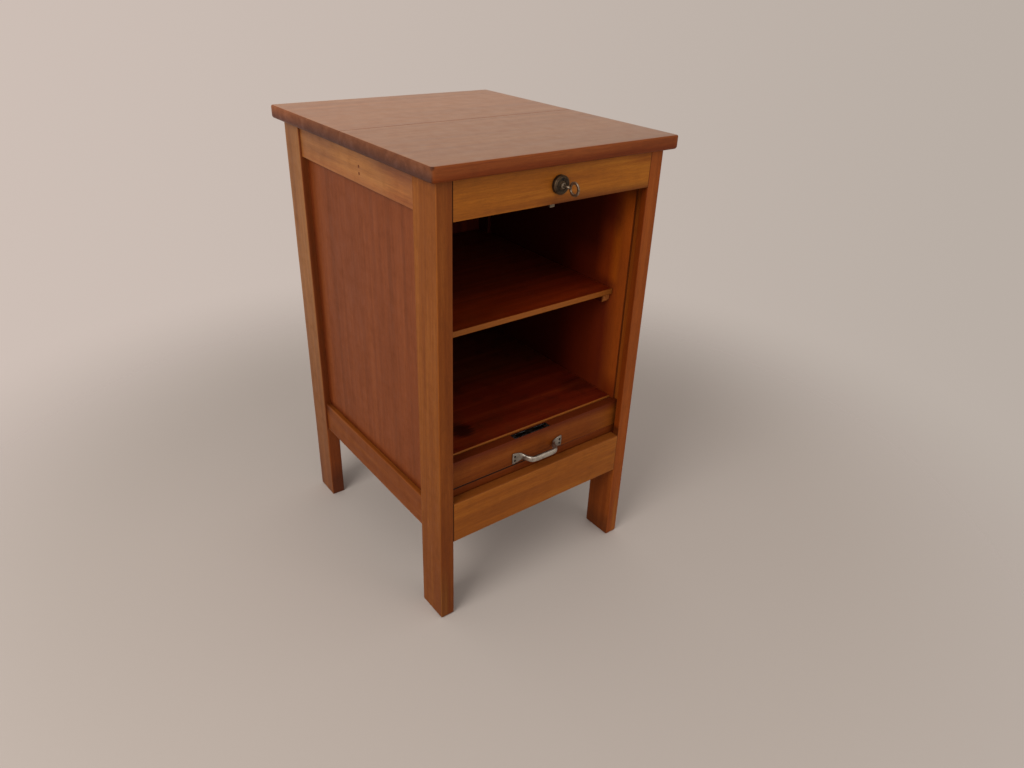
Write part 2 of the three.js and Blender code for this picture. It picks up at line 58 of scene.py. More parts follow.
def addNode(tree, kind, values=None, links=None, stops=None, **settings):
    # values are its sockets' numbers, links what feeds its sockets, stops a ramp's colours, settings its choices
    node = tree.nodes.new("ShaderNode" + kind)
    for name, value in settings.items():
        setattr(node, name, value)
    for socket, value in (values or {}).items():
        node.inputs[socket].default_value = value
    for socket, source in (links or {}).items():
        # a whole node as the source stands for its first output
        tree.links.new(getattr(source, "outputs", [source])[0], node.inputs[socket])
    if stops:
        ramp = node.color_ramp
        ramp.elements[0].position, ramp.elements[1].position = stops[0][0], stops[-1][0]
        for place, _ in stops[1:-1]:
            ramp.elements.new(place)
        for element, (_, hexText) in zip(ramp.elements, stops):
            element.color = linearColour(hexText)
    return node


def newMaterial(name):
    material = bpy.data.materials.new(name)
    material.use_nodes = True
    material.node_tree.nodes.clear()
    return material, partial(addNode, material.node_tree)


def agedColour(add, look, rubbing, dirt, tone, patches):
    # rubbed thin on the arrises, in patches, and dirty in others
    arris = add("Attribute", attribute_name="arris").outputs["Fac"]
    thin = add("MapRange", rubbing, {0: patches})
    rubbed = add("Math", links={0: arris, 1: thin}, operation="MULTIPLY")
    colour = add("Mix", {7: linearColour(look["rubbed"])}, {0: rubbed, 6: tone}, data_type="RGBA").outputs[2]
    dirty = add("MapRange", dirt, {0: patches})
    return add("Mix", {7: linearColour(look["grime"])}, {0: dirty, 6: colour}, data_type="RGBA").outputs[2]


def finishSurface(add, look, habits, values, colour, patches, height, depth):
    smoothest, dullest = (look["roughness"] + spread for spread in habits["glossSpread"])
    gloss = add("MapRange", {**habits["gloss"], 3: smoothest, 4: dullest}, {0: patches})
    bump = add("Bump", {"Strength": habits["bumpStrength"], "Distance": depth}, {"Height": height})
    shader = add("BsdfPrincipled", values, {"Base Color": colour, "Roughness": gloss, "Normal": bump})
    add("OutputMaterial", links={"Surface": shader})


# Wood: beech boards, stained red-brown and varnished. Beech has no open pores, only soft bands along the grain, fine
# fibres and short darker flecks

beech = {
    # width across the grain, width / length, then the noise's detail, roughness and distortion
    "bands": (14 * mm, 0.035, 2.0, 0.5, 0.3),     # soft light and dark, about thirty times as long as wide
    "streaks": (3.4 * mm, 0.03, 3.0, 0.6, 0.2),   # growth rings, drawn at the wide end of beech's 2 to 4 mm
    "fibres": (0.7 * mm, 0.04, 2.0, 0.6, 0.0),    # real ones are a tenth of this, too fine to show
    "flecks": (1.0 * mm, 0.22, 1.0, 0.5, 0.0),    # of the rays, 1 mm wide and a few long
    "patches": {"Scale": 1 / (26 * mm), "Detail": 4.0, "Roughness": 0.6},   # rubbed and dirty varnish
    "streakShare": 0.38,       # of the tone; the bands give the rest
    "toneAt": (0.34, 0.5, 0.66),          # the pattern's value at the darkest, middle and lightest tone
    "grainWander": (0.0, 0.012, 0.016),   # how far the grain strays from the board's length, in radians
    "boardShift": (0.37, 0.61, 0.23),     # moves each board to a wood of its own, per unit of its seed
    "bumpDepth": 0.05 * mm, "bumpStrength": 0.55,
    "streakHeight": 0.6,       # the fibres' is 1
    # Map Range numbers: as the pattern goes from the 1st to the 2nd, the result goes from the 3rd to the 4th
    "fibreGain": {1: 0.35, 2: 0.65, 3: 0.87, 4: 1.09},
    "fleckGain": {1: 0.62, 2: 0.72, 3: 1.0, 4: 0.86},
    "rubbing": {1: 0.36, 2: 0.66, 3: 0.04, 4: 0.42},
    "clouding": {1: 0.52, 2: 0.78, 3: 0.0},
    "markEdge": {1: 1.45, 2: 1.0, 3: 0.0},
    "gloss": {1: 0.3, 2: 0.7},
    "glossSpread": (-0.06, 0.08),   # round the stain's own roughness
}

# darkest, middle and lightest tone, the rubbed arris, the grime in corners, how much the old polish clouds it, then
# the varnish: roughness, specular level, coat and the coat's roughness
stainParts = ("tones", "rubbed", "grime", "clouds", "roughness", "specular", "coat", "coatRough")
stains = {
    "top": (("#7d4a22", "#885426", "#935f30"), "#8f5730", "#633216", 0.1, 0.42, 0.5, 0.66, 0.34),
    "topEdge": (("#652d0d", "#713511", "#7d401a"), "#84451c", "#42200e", 0.22, 0.5, 0.12, 0.0, 0.3),
    "frame": (("#66300b", "#70370d", "#7b4114"), "#85481c", "#47220b", 0.26, 0.48, 0.11, 0.03, 0.3),
    "warmFrame": (("#77380c", "#823e0e", "#8d4714"), "#934e1a", "#4f260b", 0.22, 0.48, 0.1, 0.02, 0.3),
    "paleFrame": (("#73441d", "#804f22", "#8c5a2c"), "#966233", "#563211", 0.22, 0.48, 0.2, 0.06, 0.3),
    "rail": (("#773e0e", "#844710", "#905417"), "#9a5c20", "#55290c", 0.26, 0.46, 0.12, 0.04, 0.3),
    "lockRail": (("#7e440f", "#8d4f11", "#9a5c18"), "#9f6022", "#5a2c0c", 0.22, 0.46, 0.11, 0.03, 0.3),
    "paleRail": (("#824e21", "#905b29", "#9e6832"), "#a46f37", "#643818", 0.3, 0.46, 0.2, 0.08, 0.3),
    "panel": (("#66300f", "#6f3513", "#783c18"), "#7d4425", "#4f250f", 0.24, 0.48, 0.13, 0.03, 0.32),
    "curtain": (("#612c0b", "#6c330c", "#773c11"), "#82461c", "#3f1b08", 0.3, 0.46, 0.09, 0.0, 0.3),
    # inside the cabinet these two stains are darkened to dark red as painted shade
    "inner": (("#430f03", "#501606", "#5e1f09"), "#6f3112", "#230903", 0.32, 0.5, 0.12, 0.0, 0.3),
    "innerFloor": (("#4e1004", "#5e1807", "#70260c"), "#77330f", "#1c0703", 0.5, 0.46, 0.12, 0.0, 0.3),
    # the slats sit back under the lead rail; their tones are darker than its as painted shade
    "slat": (("#542008", "#602809", "#6d310d"), "#763a16", "#301107", 0.3, 0.48, 0.12, 0.03, 0.3),
}

# turns that bring the grain's direction to the pattern's first axis
grainTurn = {"x": (0, 0, 0), "y": (0, 0, -math.pi / 2), "z": (0, math.pi / 2, 0)}


def stainedBeech(name, stain, along, seed, zones=(), marks=(), finish="stained"):
    # zones are (tone, limits): the wood takes that tone where each limit (axis, start, full) is passed. A tone is
    # one colour, or several with the depth in the cabinet where each holds, or three numbers that the wood's own
    # colour is multiplied by. marks are (centre, size, strength): small dark checks or stains at a place on the
    # piece. All places are in metres
    look = dict(zip(stainParts, stains[stain]))
    material, add = newMaterial(finish + "Beech" + name)
    place = add("TexCoord").outputs["Object"]
    turn = np.array(grainTurn[along]) + np.array(beech["grainWander"]) * np.sin(seed * 2.3)
    shift = tuple(seed * share for share in beech["boardShift"])
    grain = add("Mapping", {"Location": shift, "Rotation": turn.tolist()}, {"Vector": place})

    def stretched(pattern):
        # noise whose grains are one width across the board and width / stretch along it
        width, stretch, detail, roughness, distortion = beech[pattern]
        long = add("VectorMath", {1: (stretch, 1, 1)}, {0: grain}, operation="MULTIPLY")
        return add("TexNoise", {"Scale": 1 / width, "Detail": detail, "Roughness": roughness,
                                "Distortion": distortion}, {"Vector": long})

    bands, streaks, fibres, flecks = (stretched(pattern) for pattern in ("bands", "streaks", "fibres", "flecks"))
    patches = add("TexNoise", beech["patches"], {"Vector": place})

    mixed = add("Mix", {0: beech["streakShare"]}, {2: bands, 3: streaks}, data_type="FLOAT")
    tone = add("ValToRGB", links={0: mixed}, stops=list(zip(beech["toneAt"], look["tones"])))
    # fibres and flecks only darken, a little
    fine = add("MapRange", beech["fibreGain"], {0: fibres})
    dash = add("MapRange", beech["fleckGain"], {0: flecks})
    both = add("Math", links={0: fine, 1: dash}, operation="MULTIPLY")
    grained = add("VectorMath", links={0: tone, 3: both}, operation="SCALE")
    # old polish gathers in faint darker clouds
    clouds = {**beech["clouding"], 4: look["clouds"]}
    colour = agedColour(add, look, beech["rubbing"], clouds, grained, patches)
    apart = add("SeparateXYZ", links={0: place}).outputs
    for zoneTone, limits in zones:
        share = None
        for axis, start, full in limits:
            passed = add("MapRange", {1: start, 2: full}, {0: apart["XYZ".index(axis)]})
            share = add("Math", links={0: share, 1: passed}, operation="MULTIPLY") if share else passed
        if isinstance(zoneTone, tuple):
            toned = add("VectorMath", {1: zoneTone}, {0: colour}, operation="MULTIPLY")
        else:
            steps = [(0, zoneTone), (1, zoneTone)] if isinstance(zoneTone, str) else zoneTone
            nearest, furthest = steps[0][0], steps[-1][0]
            depth = add("MapRange", {1: nearest, 2: furthest}, {0: apart[1]})
            stops = [((at - nearest) / (furthest - nearest), toneAt) for at, toneAt in steps]
            inZone = add("ValToRGB", links={0: depth}, stops=stops)
            toned = add("VectorMath", links={0: inZone, 3: both}, operation="SCALE")
        colour = add("Mix", links={0: share, 6: colour, 7: toned}, data_type="RGBA").outputs[2]
    for centre, size, strength in marks:
        away = add("VectorMath", {1: centre}, {0: place}, operation="SUBTRACT")
        scaled = add("VectorMath", {1: tuple(1 / s for s in size)}, {0: away}, operation="MULTIPLY")
        reach = add("VectorMath", links={0: scaled}, operation="LENGTH").outputs["Value"]
        frayed = add("Math", links={0: streaks, 1: reach}, operation="ADD")
        depth = add("MapRange", {**beech["markEdge"], 4: strength}, {0: frayed})
        colour = add("Mix", {7: linearColour(look["grime"])}, {0: depth, 6: colour}, data_type="RGBA").outputs[2]
    relief = add("Math", {1: beech["streakHeight"]}, {0: streaks, 2: fibres}, operation="MULTIPLY_ADD")
    varnish = {"Specular IOR Level": look["specular"], "IOR": 1.5, "Coat Weight": look["coat"],
               "Coat Roughness": look["coatRough"]}
    finishSurface(add, look, beech, varnish, colour, patches, relief, beech["bumpDepth"])
    return material


# Metals: all old, handled and dull

# darkest, middle and lightest tone, rubbed arris, grime, roughness, grit's and spots' size, grit's depth, metallic
metalParts = ("tones", "rubbed", "grime", "roughness", "grit", "spot", "depth", "metallic")
metals = {
    # nickel plate over a rough casting: grey, slightly warm, satin, with darker pits where the plate has dulled
    "cast_nickel": (("#807970", "#979188", "#aaa59b"), "#c6beb1", "#4c4137", 0.4, 2.2 * mm, 9 * mm, 0.06 * mm, 1.0),
    # rolled steel: near black, painted shade of its pocket; blue-grey where it is wiped, as painted glints
    "steel": (("#1e1814", "#302924", "#55524f"), "#6e7075", "#1c120b", 0.34, 0.9 * mm, 7 * mm, 0.03 * mm, 0.9),
    # steel gone brown-black: screws and the lock's case
    "dark_steel": (("#1d1815", "#2a231f", "#372f2a"), "#5e544b", "#170e09", 0.5, 0.8 * mm, 3 * mm, 0.05 * mm, 0.9),
    # the same, painted quite black for the shade down in the ring's well
    "black_steel": (("#0b0807", "#120e0b", "#1b1612"), "#3d352e", "#080504", 0.6, 0.6 * mm, 3 * mm, 0.04 * mm, 0.5),
    # cast bronze with a dark brown skin, rubbed brighter on its rims
    "dark_bronze": (("#2c231a", "#3c3126", "#4d4132"), "#6c563f", "#130d08", 0.5, 1.1 * mm, 5 * mm, 0.04 * mm, 0.9),
    # nickel worn to the brass: the key and the bolt
    "worn_nickel": (("#4f4438", "#6e6152", "#8d7f6d"), "#b5a48e", "#33291f", 0.36, 0.8 * mm, 5 * mm, 0.02 * mm, 1.0),
}

handling = {
    "spotNoise": {"Detail": 4.0, "Roughness": 0.62}, "gritNoise": {"Detail": 2.0, "Roughness": 0.6},
    "gritShare": 0.22,   # of the tone; the spots give the rest
    "toneAt": (0.36, 0.5, 0.64),
    "shift": (1.0, 0.7, 1.3),   # per unit of the seed, so that no two pieces have the same spots
    "bumpStrength": 0.6,
    # Map Range numbers, as for the wood
    "rubbing": {1: 0.4, 2: 0.6, 3: 0.2, 4: 0.9},
    "dirt": {1: 0.56, 2: 0.72, 3: 0.0, 4: 0.7},
    "gloss": {1: 0.35, 2: 0.7},
    "glossSpread": (-0.05, 0.2),
}


def handledMetal(name, finish, seed=0.0):
    look = dict(zip(metalParts, metals[finish]))
    material, add = newMaterial(name)
    place = add("TexCoord").outputs["Object"]
    moved = add("Mapping", {"Location": tuple(seed * share for share in handling["shift"])}, {"Vector": place})
    spots = add("TexNoise", {"Scale": 1 / look["spot"], **handling["spotNoise"]}, {"Vector": moved})
    grit = add("TexNoise", {"Scale": 1 / look["grit"], **handling["gritNoise"]}, {"Vector": moved})
    both = add("Mix", {0: handling["gritShare"]}, {2: spots, 3: grit}, data_type="FLOAT")
    tone = add("ValToRGB", links={0: both}, stops=list(zip(handling["toneAt"], look["tones"])))
    colour = agedColour(add, look, handling["rubbing"], handling["dirt"], tone, spots)
    finishSurface(add, look, handling, {"Metallic": look["metallic"]}, colour, spots, grit, look["depth"])
    return material


# Objects and surfaces

def newObject(name, data):
    made = bpy.data.objects.new(name, data)
    bpy.context.scene.collection.objects.link(made)
    return made


boardLook = {
    "arcSteps": 5, "endSteps": 5, "leastRadius": 0.05 * mm, "margin": 4 * mm,   # margin: from an end round inwards
    # a hand-eased arris as a sum of sines: radians per metre, part of the phase, part of the whole
    "waves": ((41, 1.0, 0.5), (97, 2.1, 0.3), (23, 0.7, 0.2)),
    "edgePhase": 1.7,   # between one edge and the next
    # the smaller outline on an end's flat, in mm and in parts
    "flatInset": 3, "flatInsetMore": 1.5, "flatRadius": 0.6, "flatShare": 0.4,
}


def boardRings(corners, radii, insets, arcSteps, beside):
    # Outline of a board at each station. Every edge moves inwards by its inset, the moved edges meet in new corners,
    # and each corner becomes an arc: centre = corner - s r (n1 + n2) / (1 + n1.n2), point = centre + s r (cos t,
    # sin t), where t goes from one edge's normal to the next and s is 1 on outer corners and -1 on inner ones. One
    # more point lies beside each end of the arc
    ahead = np.roll(corners, -1, axis=0) - corners
    length = np.linalg.norm(ahead, axis=1)
    along = ahead / length[:, None]
    normal = np.stack([along[:, 1], -along[:, 0]], axis=1)
    alongBefore, before = np.roll(along, 1, axis=0), np.roll(normal, 1, axis=0)
    cross = before[:, 0] * normal[:, 1] - before[:, 1] * normal[:, 0]
    dot = (before * normal).sum(1)
    way = np.sign(cross)
    insetBefore = np.roll(insets, 1, axis=1)
    reachBefore = (corners * before).sum(1) - insetBefore
    reachAfter = (corners * normal).sum(1) - insets
    moved = np.stack([(reachBefore * normal[:, 1] - reachAfter * before[:, 1]) / cross,
                      (before[:, 0] * reachAfter - normal[:, 0] * reachBefore) / cross], axis=-1)
    radius = np.maximum(radii - way * (insetBefore + insets) / 2, boardLook["leastRadius"])
    centre = moved - (way * radius)[..., None] * ((before + normal) / (1 + dot)[:, None])
    swing = np.arctan2(cross, dot)[:, None] * np.linspace(0, 1, arcSteps + 1)
    turn = np.arctan2(before[:, 1], before[:, 0])[:, None] + swing
    spoke = np.stack([np.cos(turn), np.sin(turn)], axis=-1)
    arc = centre[:, :, None, :] + (way * radius)[:, :, None, None] * spoke[None]
    apart = np.minimum(beside, length / 3)
    first = arc[:, :, :1] - (alongBefore * np.roll(apart, 1)[:, None])[None, :, None, :]
    last = arc[:, :, -1:] + (along * apart[:, None])[None, :, None, :]
    rings = np.concatenate([first, arc, last], axis=2)
    worn = np.tile(np.concatenate([[0.0], np.ones(arcSteps + 1), [0.0]]), len(corners))
    return rings.reshape(len(insets), -1, 2), worn


def closedRings(name, rings, worn, loop=False):
    # a skin over rings of points: every point joins the next one round and the next ring along; the two end rings
    # are filled, or joined to each other where the rings run in a loop. worn is the arris weight of each point
    rows, around = rings.shape[:2]
    index = np.arange(rows * around).reshape(rows, around)
    ahead = np.roll(index, -1, axis=0) if loop else index[1:]
    here = index if loop else index[:-1]
    faces = np.stack([here, np.roll(here, -1, axis=1), np.roll(ahead, -1, axis=1), ahead], axis=-1)
    faces = faces.reshape(-1, 4).tolist()
    if not loop:
        faces += [index[0][::-1].tolist(), index[-1].tolist()]
    mesh = bpy.data.meshes.new(name)
    mesh.from_pydata(rings.reshape(-1, 3).tolist(), [], faces)
    layer = mesh.attributes.new("arris", "FLOAT", "POINT")
    layer.data.foreach_set("value", np.broadcast_to(worn, (rows, around)).astype(np.float32).ravel())
    mesh.polygons.foreach_set("use_smooth", np.ones(len(mesh.polygons), bool))
    mesh.update()
    return mesh


def placed(points, centre, right, up):
    # local (u, v, w) to the cabinet: u along right, v along up, w along their cross product, from the centre, in mm
    right, up = np.array(right, float), np.array(up, float)
    u, v, w = points[..., :1], points[..., 1:2], points[..., 2:]
    return (np.array(centre) + u * right + v * up + w * np.cross(right, up)) * mm


def smoothSteps(span, firstRound, lastRound, step):
    # stations along a board: a quarter round of radius e at each end (distance from the end = e (1 - sin t), inset =
    # e (1 - cos t)), and equal steps between
    t = np.linspace(np.pi / 2, 0, boardLook["endSteps"])
    away, inwards = 1 - np.sin(t), 1 - np.cos(t)
    start, end = span
    margin = min(boardLook["margin"], (end - start) / 5)
    middle = np.linspace(start + firstRound + margin, end - lastRound - margin, max(2, int((end - start) / step)))
    position = np.concatenate([start + firstRound * away, middle, end - lastRound * away[::-1]])
    inset = np.concatenate([firstRound * inwards, np.zeros(len(middle)), lastRound * inwards[::-1]])
    return position, inset


def makeBoard(name, axis, corners, span, arris, ends, shares=None, step=18 * mm, wander=0.22, beside=4 * mm,
              seed=0.0):
    # a board's rounded outline carried along an axis; corners, span, arris and ends are in mm. The arris radius
    # wanders a little along the board, as on one eased by hand: r = arris (1 + wander (sum of three sines of the
    # position)). ends is the round at both ends, or one at each, and shares the part of it that each edge gets
    corners = np.array(corners, float) * mm
    ends = np.broadcast_to(np.array(ends, float), 2)
    position, inset = smoothSteps(np.array(span) * mm, *(ends * mm), step)
    shares = np.ones(len(corners)) if shares is None else np.array(shares, float)
    arris = np.broadcast_to(np.array(arris, float) * mm, (len(corners),))
    phase = np.arange(len(corners)) * boardLook["edgePhase"] + seed
    along = position[:, None]
    waves = sum(np.sin(along * rate + phase * phasePart) * part for rate, phasePart, part in boardLook["waves"])
    # an arc stays larger than the inset, or it would turn inside out on an end's round
    radii = np.maximum(arris * (1 + wander * waves), inset[:, None] * 1.01)
    arcSteps, flatEdge = boardLook["arcSteps"], boardLook["flatInset"]
    rings, worn = boardRings(corners, radii, inset[:, None] * shares, arcSteps, beside)
    # a smaller outline on each end's flat keeps the flat's shading plain
    flatRadii = np.maximum(arris, (ends[:, None] + flatEdge) * boardLook["flatRadius"] * mm)
    flatInset = (ends + np.minimum(flatEdge, ends + boardLook["flatInsetMore"])) * mm
    flatShares = np.maximum(shares, boardLook["flatShare"])
    flats, _ = boardRings(corners, flatRadii, flatInset[:, None] * flatShares, arcSteps, beside)
    rings = np.concatenate([flats[:1], rings, flats[1:]])
    position = np.concatenate([position[:1], position, position[-1:]])
    solid = np.concatenate([np.broadcast_to(position[:, None, None], (*rings.shape[:2], 1)), rings], axis=-1)
    solid = np.roll(solid, {"x": 0, "y": 1, "z": 2}[axis], axis=-1)
    near = np.concatenate([[0.0], np.where(inset > 0, 1.0, 0.0), [0.0]])[:, None]
    return closedRings(name, solid, np.maximum(worn, near))


def boxInMm(node):
    return np.array(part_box(node)) / mm


def boxBoard(node, axis, arris, ends, **more):
    # a board that fills a solid's box
    low, high = boxInMm(node)
    u, v, w = {"x": (1, 2, 0), "y": (2, 0, 1), "z": (0, 1, 2)}[axis]
    outline = [(low[u], low[v]), (high[u], low[v]), (high[u], high[v]), (low[u], high[v])]
    return makeBoard(node, axis, outline, (low[w], high[w]), arris, ends, **more)


def revolved(profile, worn, around):
    # a profile of (radius, height) points turned about the height: x = radius cos a, y = radius sin a, z = height
    angle = np.linspace(0, 2 * np.pi, around, endpoint=False)
    radius, height = profile[:, :1], profile[:, 1:]
    rings = np.stack([radius * np.cos(angle), radius * np.sin(angle), height + 0 * angle], axis=-1)
    return rings, np.broadcast_to(np.array(worn)[:, None], rings.shape[:2])


def roundedProfile(corners, radii, arcSteps=4, beside=0.4):
    # the corners of a section in mm, each rounded by its own radius
    corners, radii = np.array(corners, float) * mm, np.array(radii, float)[None] * mm
    rings, worn = boardRings(corners, radii, np.zeros((1, len(corners))), arcSteps, beside * mm)
    return rings[0] / mm, worn


def easedCopy(node, width, segments=3, angle=28):
    # a copy of a solid with its triangles merged and its sharp arrises rounded by a Bevel, whose faces carry the
    # arris weight
    work = bmesh.new()
    work.from_mesh(nodes[node].data)
    bmesh.ops.remove_doubles(work, verts=work.verts, dist=1e-6)
    bmesh.ops.dissolve_limit(work, angle_limit=math.radians(0.6), verts=work.verts, edges=work.edges)
    plain = bpy.data.meshes.new(node + "_plain")
    work.to_mesh(plain)
    work.free()
    plain.materials.append(None)
    plain.materials.append(None)
    carrier = newObject(node + "_plain", plain)
    bevel = carrier.modifiers.new("eased arrises", "BEVEL")
    bevel.width, bevel.segments, bevel.material = width * mm, segments, 1
    bevel.limit_method, bevel.angle_limit = "ANGLE", math.radians(angle)
    bevel.miter_outer = "MITER_ARC"
    mesh = bpy.data.meshes.new_from_object(carrier.evaluated_get(bpy.context.evaluated_depsgraph_get()))
    mesh.name = node
    bpy.data.objects.remove(carrier)
    slot = np.zeros(len(mesh.polygons), np.int32)
    mesh.polygons.foreach_get("material_index", slot)
    sides = np.zeros(len(mesh.polygons), np.int32)
    mesh.polygons.foreach_get("loop_total", sides)
    layer = mesh.attributes.new("arris", "FLOAT", "CORNER")
    layer.data.foreach_set("value", np.repeat(slot, sides).astype(np.float32))
    mesh.polygons.foreach_set("use_smooth", slot == 1)
    mesh.polygons.foreach_set("material_index", np.zeros(len(mesh.polygons), np.int32))
    mesh.materials.clear()
    return mesh


def joinedMesh(name, meshes):
    work = bmesh.new()
    for mesh in meshes:
        work.from_mesh(mesh)
    joined = bpy.data.meshes.new(name)
    work.to_mesh(joined)
    work.free()
    return joined


def addPiece(name, mesh, body, material, flatTops=None):
    # a piece with a solid's name stands in for it. flatTops is a second material, for faces that look straight up
    piece = newObject(name + "_dressed" if name in nodes else name, mesh)
    piece.data.materials.clear()
    piece.data.materials.append(material)
    if flatTops:
        piece.data.materials.append(flatTops)
        normals = np.zeros(len(mesh.polygons) * 3)
        mesh.polygons.foreach_get("normal", normals)
        mesh.polygons.foreach_set("material_index", (normals[2::3] > 0.9).astype(np.int32))
    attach(piece, body)
    if name in nodes:
        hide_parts(name)


def dress(node, material):
    # a solid whose shape is right as it is keeps it and gets the material
    nodes[node].data.materials.clear()
    nodes[node].data.materials.append(material)
    for place in nodes[node].material_slots:
        place.material = material


# Top: two boards, rounded along the outer edges and close at the seam

leftEdge = ("X", -0.2196, -0.2224)
top = {
    "arris": 3.0, "underRound": 4.6, "corner": 4.7, "seamEase": 0.5,
    "seamShare": 0.16,   # of the round above and below, left at the seam
    # a dark check in the front left corner: centre, size and strength
    "check": ((-0.2205, -0.2405, 0.7795), (0.0035, 0.0040, 0.006), 0.95),
    # painted sheen: the flat grows lighter towards the back
    "flatSheenZones": [((1.40, 1.38, 1.46), [("Y", -0.235, 0.20)])],
    # painted shade: the left edge is greyer, darker still along its lower half and paler at the back; the front edge
    # is darker along its lower half
    "edgeShadeZones": [((0.74, 1.05, 2.3), [leftEdge]),
                  ((0.52, 0.56, 0.9), [leftEdge, ("Z", 0.7750, 0.7640)]),
                  ((1.55, 1.50, 1.4), [leftEdge, ("Y", 0.09, 0.21)]),
                  ((0.82, 0.65, 0.4), [("Y", -0.2400, -0.2415), ("Z", 0.7720, 0.7630)])],
}


def topBoard(node, name, seamAtBack, seed):
    ease, corner, atSeam = top["seamEase"], top["corner"], top["seamShare"]
    radii = [corner, corner, ease, ease] if seamAtBack else [ease, ease, corner, corner]
    shares = [1, 1, atSeam, 1] if seamAtBack else [atSeam, 1, 1, 1]
    marks = [top["check"]] if seamAtBack else []
    # the flat is waxed and shines at a low angle; the edges are darker and duller
    flat = stainedBeech(name, "top", "x", seed, top["flatSheenZones"], marks, "waxed")
    edge = stainedBeech(name, "topEdge", "x", seed, top["edgeShadeZones"], marks)
    mesh = boxBoard(node, "z", radii, (top["underRound"], top["arris"]), shares=shares, wander=0.0, beside=6 * mm)
    addPiece(node, mesh, "carcass", edge, flat)


topBoard("top_board_front", "TopFront", True, 1.0)
topBoard("top_board_back", "TopBack", False, 2.0)
print("top boards made")

# Legs. Zones of paired pieces are written for the right side and mirrored for the left

outward = {"left": -1, "right": 1}
# inside, painted shade: the wood goes from brown at the mouth to dark red further back
paintedShadeInside = [(-0.184, "#8d4011"), (-0.152, "#63200b"), (-0.120, "#481406"), (-0.04, "#431005")]
lipInside, backLegFront = ("X", 0.1836, 0.1829), ("Y", 0.2012, 0.2006)

legs = {
    "arris": 2.0, "footRound": 2.2,
    "frontStain": {"left": "frame", "right": "warmFrame"},
    "backStain": {"left": "paleFrame", "right": "frame"},
    # the left leg's outer face is a little paler
    "leftZones": [((1.14, 1.30, 1.3), [("X", -0.2066, -0.2080)])],
    # painted shade: darker towards the foot, and on the lip's inner face most where the curtain goes down; the foot
    # is worn in front
    "frontZones": [((0.86, 0.80, 0.8), [("Z", 0.26, 0.06)]),
                   ((0.56, 0.58, 0.7), [lipInside, ("Z", 0.060, 0.020)]),
                   ((0.64, 0.48, 0.42), [lipInside, ("Y", -0.212, -0.216), ("Z", 0.23, 0.25)]),
                   ((1.12, 1.45, 1.8), [("X", 0.192, 0.198), ("Y", -0.2262, -0.2270), ("Z", 0.12, 0.05)]),
                   ((0.42, 0.42, 0.6), [lipInside, ("Z", 0.228, 0.236), ("Z", 0.258, 0.250)])],
    # painted shade: darker towards the foot, redder and darker on the face beside the panel, with some dirt in that
    # corner too, and dark red inside
    "backZones": [((0.74, 0.56, 0.38), [("Z", 0.48, 0.02)]),
                  ((0.60, 0.34, 0.22), [backLegFront, ("Z", 0.158, 0.166)]),
                  ((0.95, 0.62, 0.35), [backLegFront, ("Z", 0.166, 0.158)]),
                  ((0.58, 0.6, 0.9), [backLegFront, ("Z", 0.080, 0.035)]),
                  (paintedShadeInside, [("X", 0.1906, 0.1900), ("Y", 0.234, 0.232), ("Z", 0.160, 0.166)])],
}


def mirrored(side, zones):
    way = outward[side]
    turned = []
    for tone, limits in zones:
        turned.append((tone, [(axis, way * start, way * full) if axis == "X" else (axis, start, full)
                              for axis, start, full in limits]))
    return turned


for seed, side in ((3.0, "left"), (4.0, "right")):
    node = "leg_front_" + side
    zones = (legs["leftZones"] if side == "left" else []) + mirrored(side, legs["frontZones"])
    wood = stainedBeech("FrontLeg" + side.title(), legs["frontStain"][side], "z", seed, zones)
    addPiece(node, easedCopy(node, legs["arris"]), "carcass", wood)
    node = "leg_back_" + side
    mesh = boxBoard(node, "z", legs["arris"], legs["footRound"], seed=seed)
    wood = stainedBeech("BackLeg" + side.title(), legs["backStain"][side], "z", seed + 0.5,
                        mirrored(side, legs["backZones"]))
    addPiece(node, mesh, "carcass", wood)

# Rails and panels

# dirt lies in the joints at both ends of the front rail and the lock rail
dirtyEnds = [("#2a1206", [("X", way * 0.1814, way * 0.1822)]) for way in (-1, 1)]
panelInside, panelOutside = ("X", 0.1912, 0.1904), ("X", 0.1930, 0.1940)
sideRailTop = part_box("side_bottom_rail_right")[1][2]

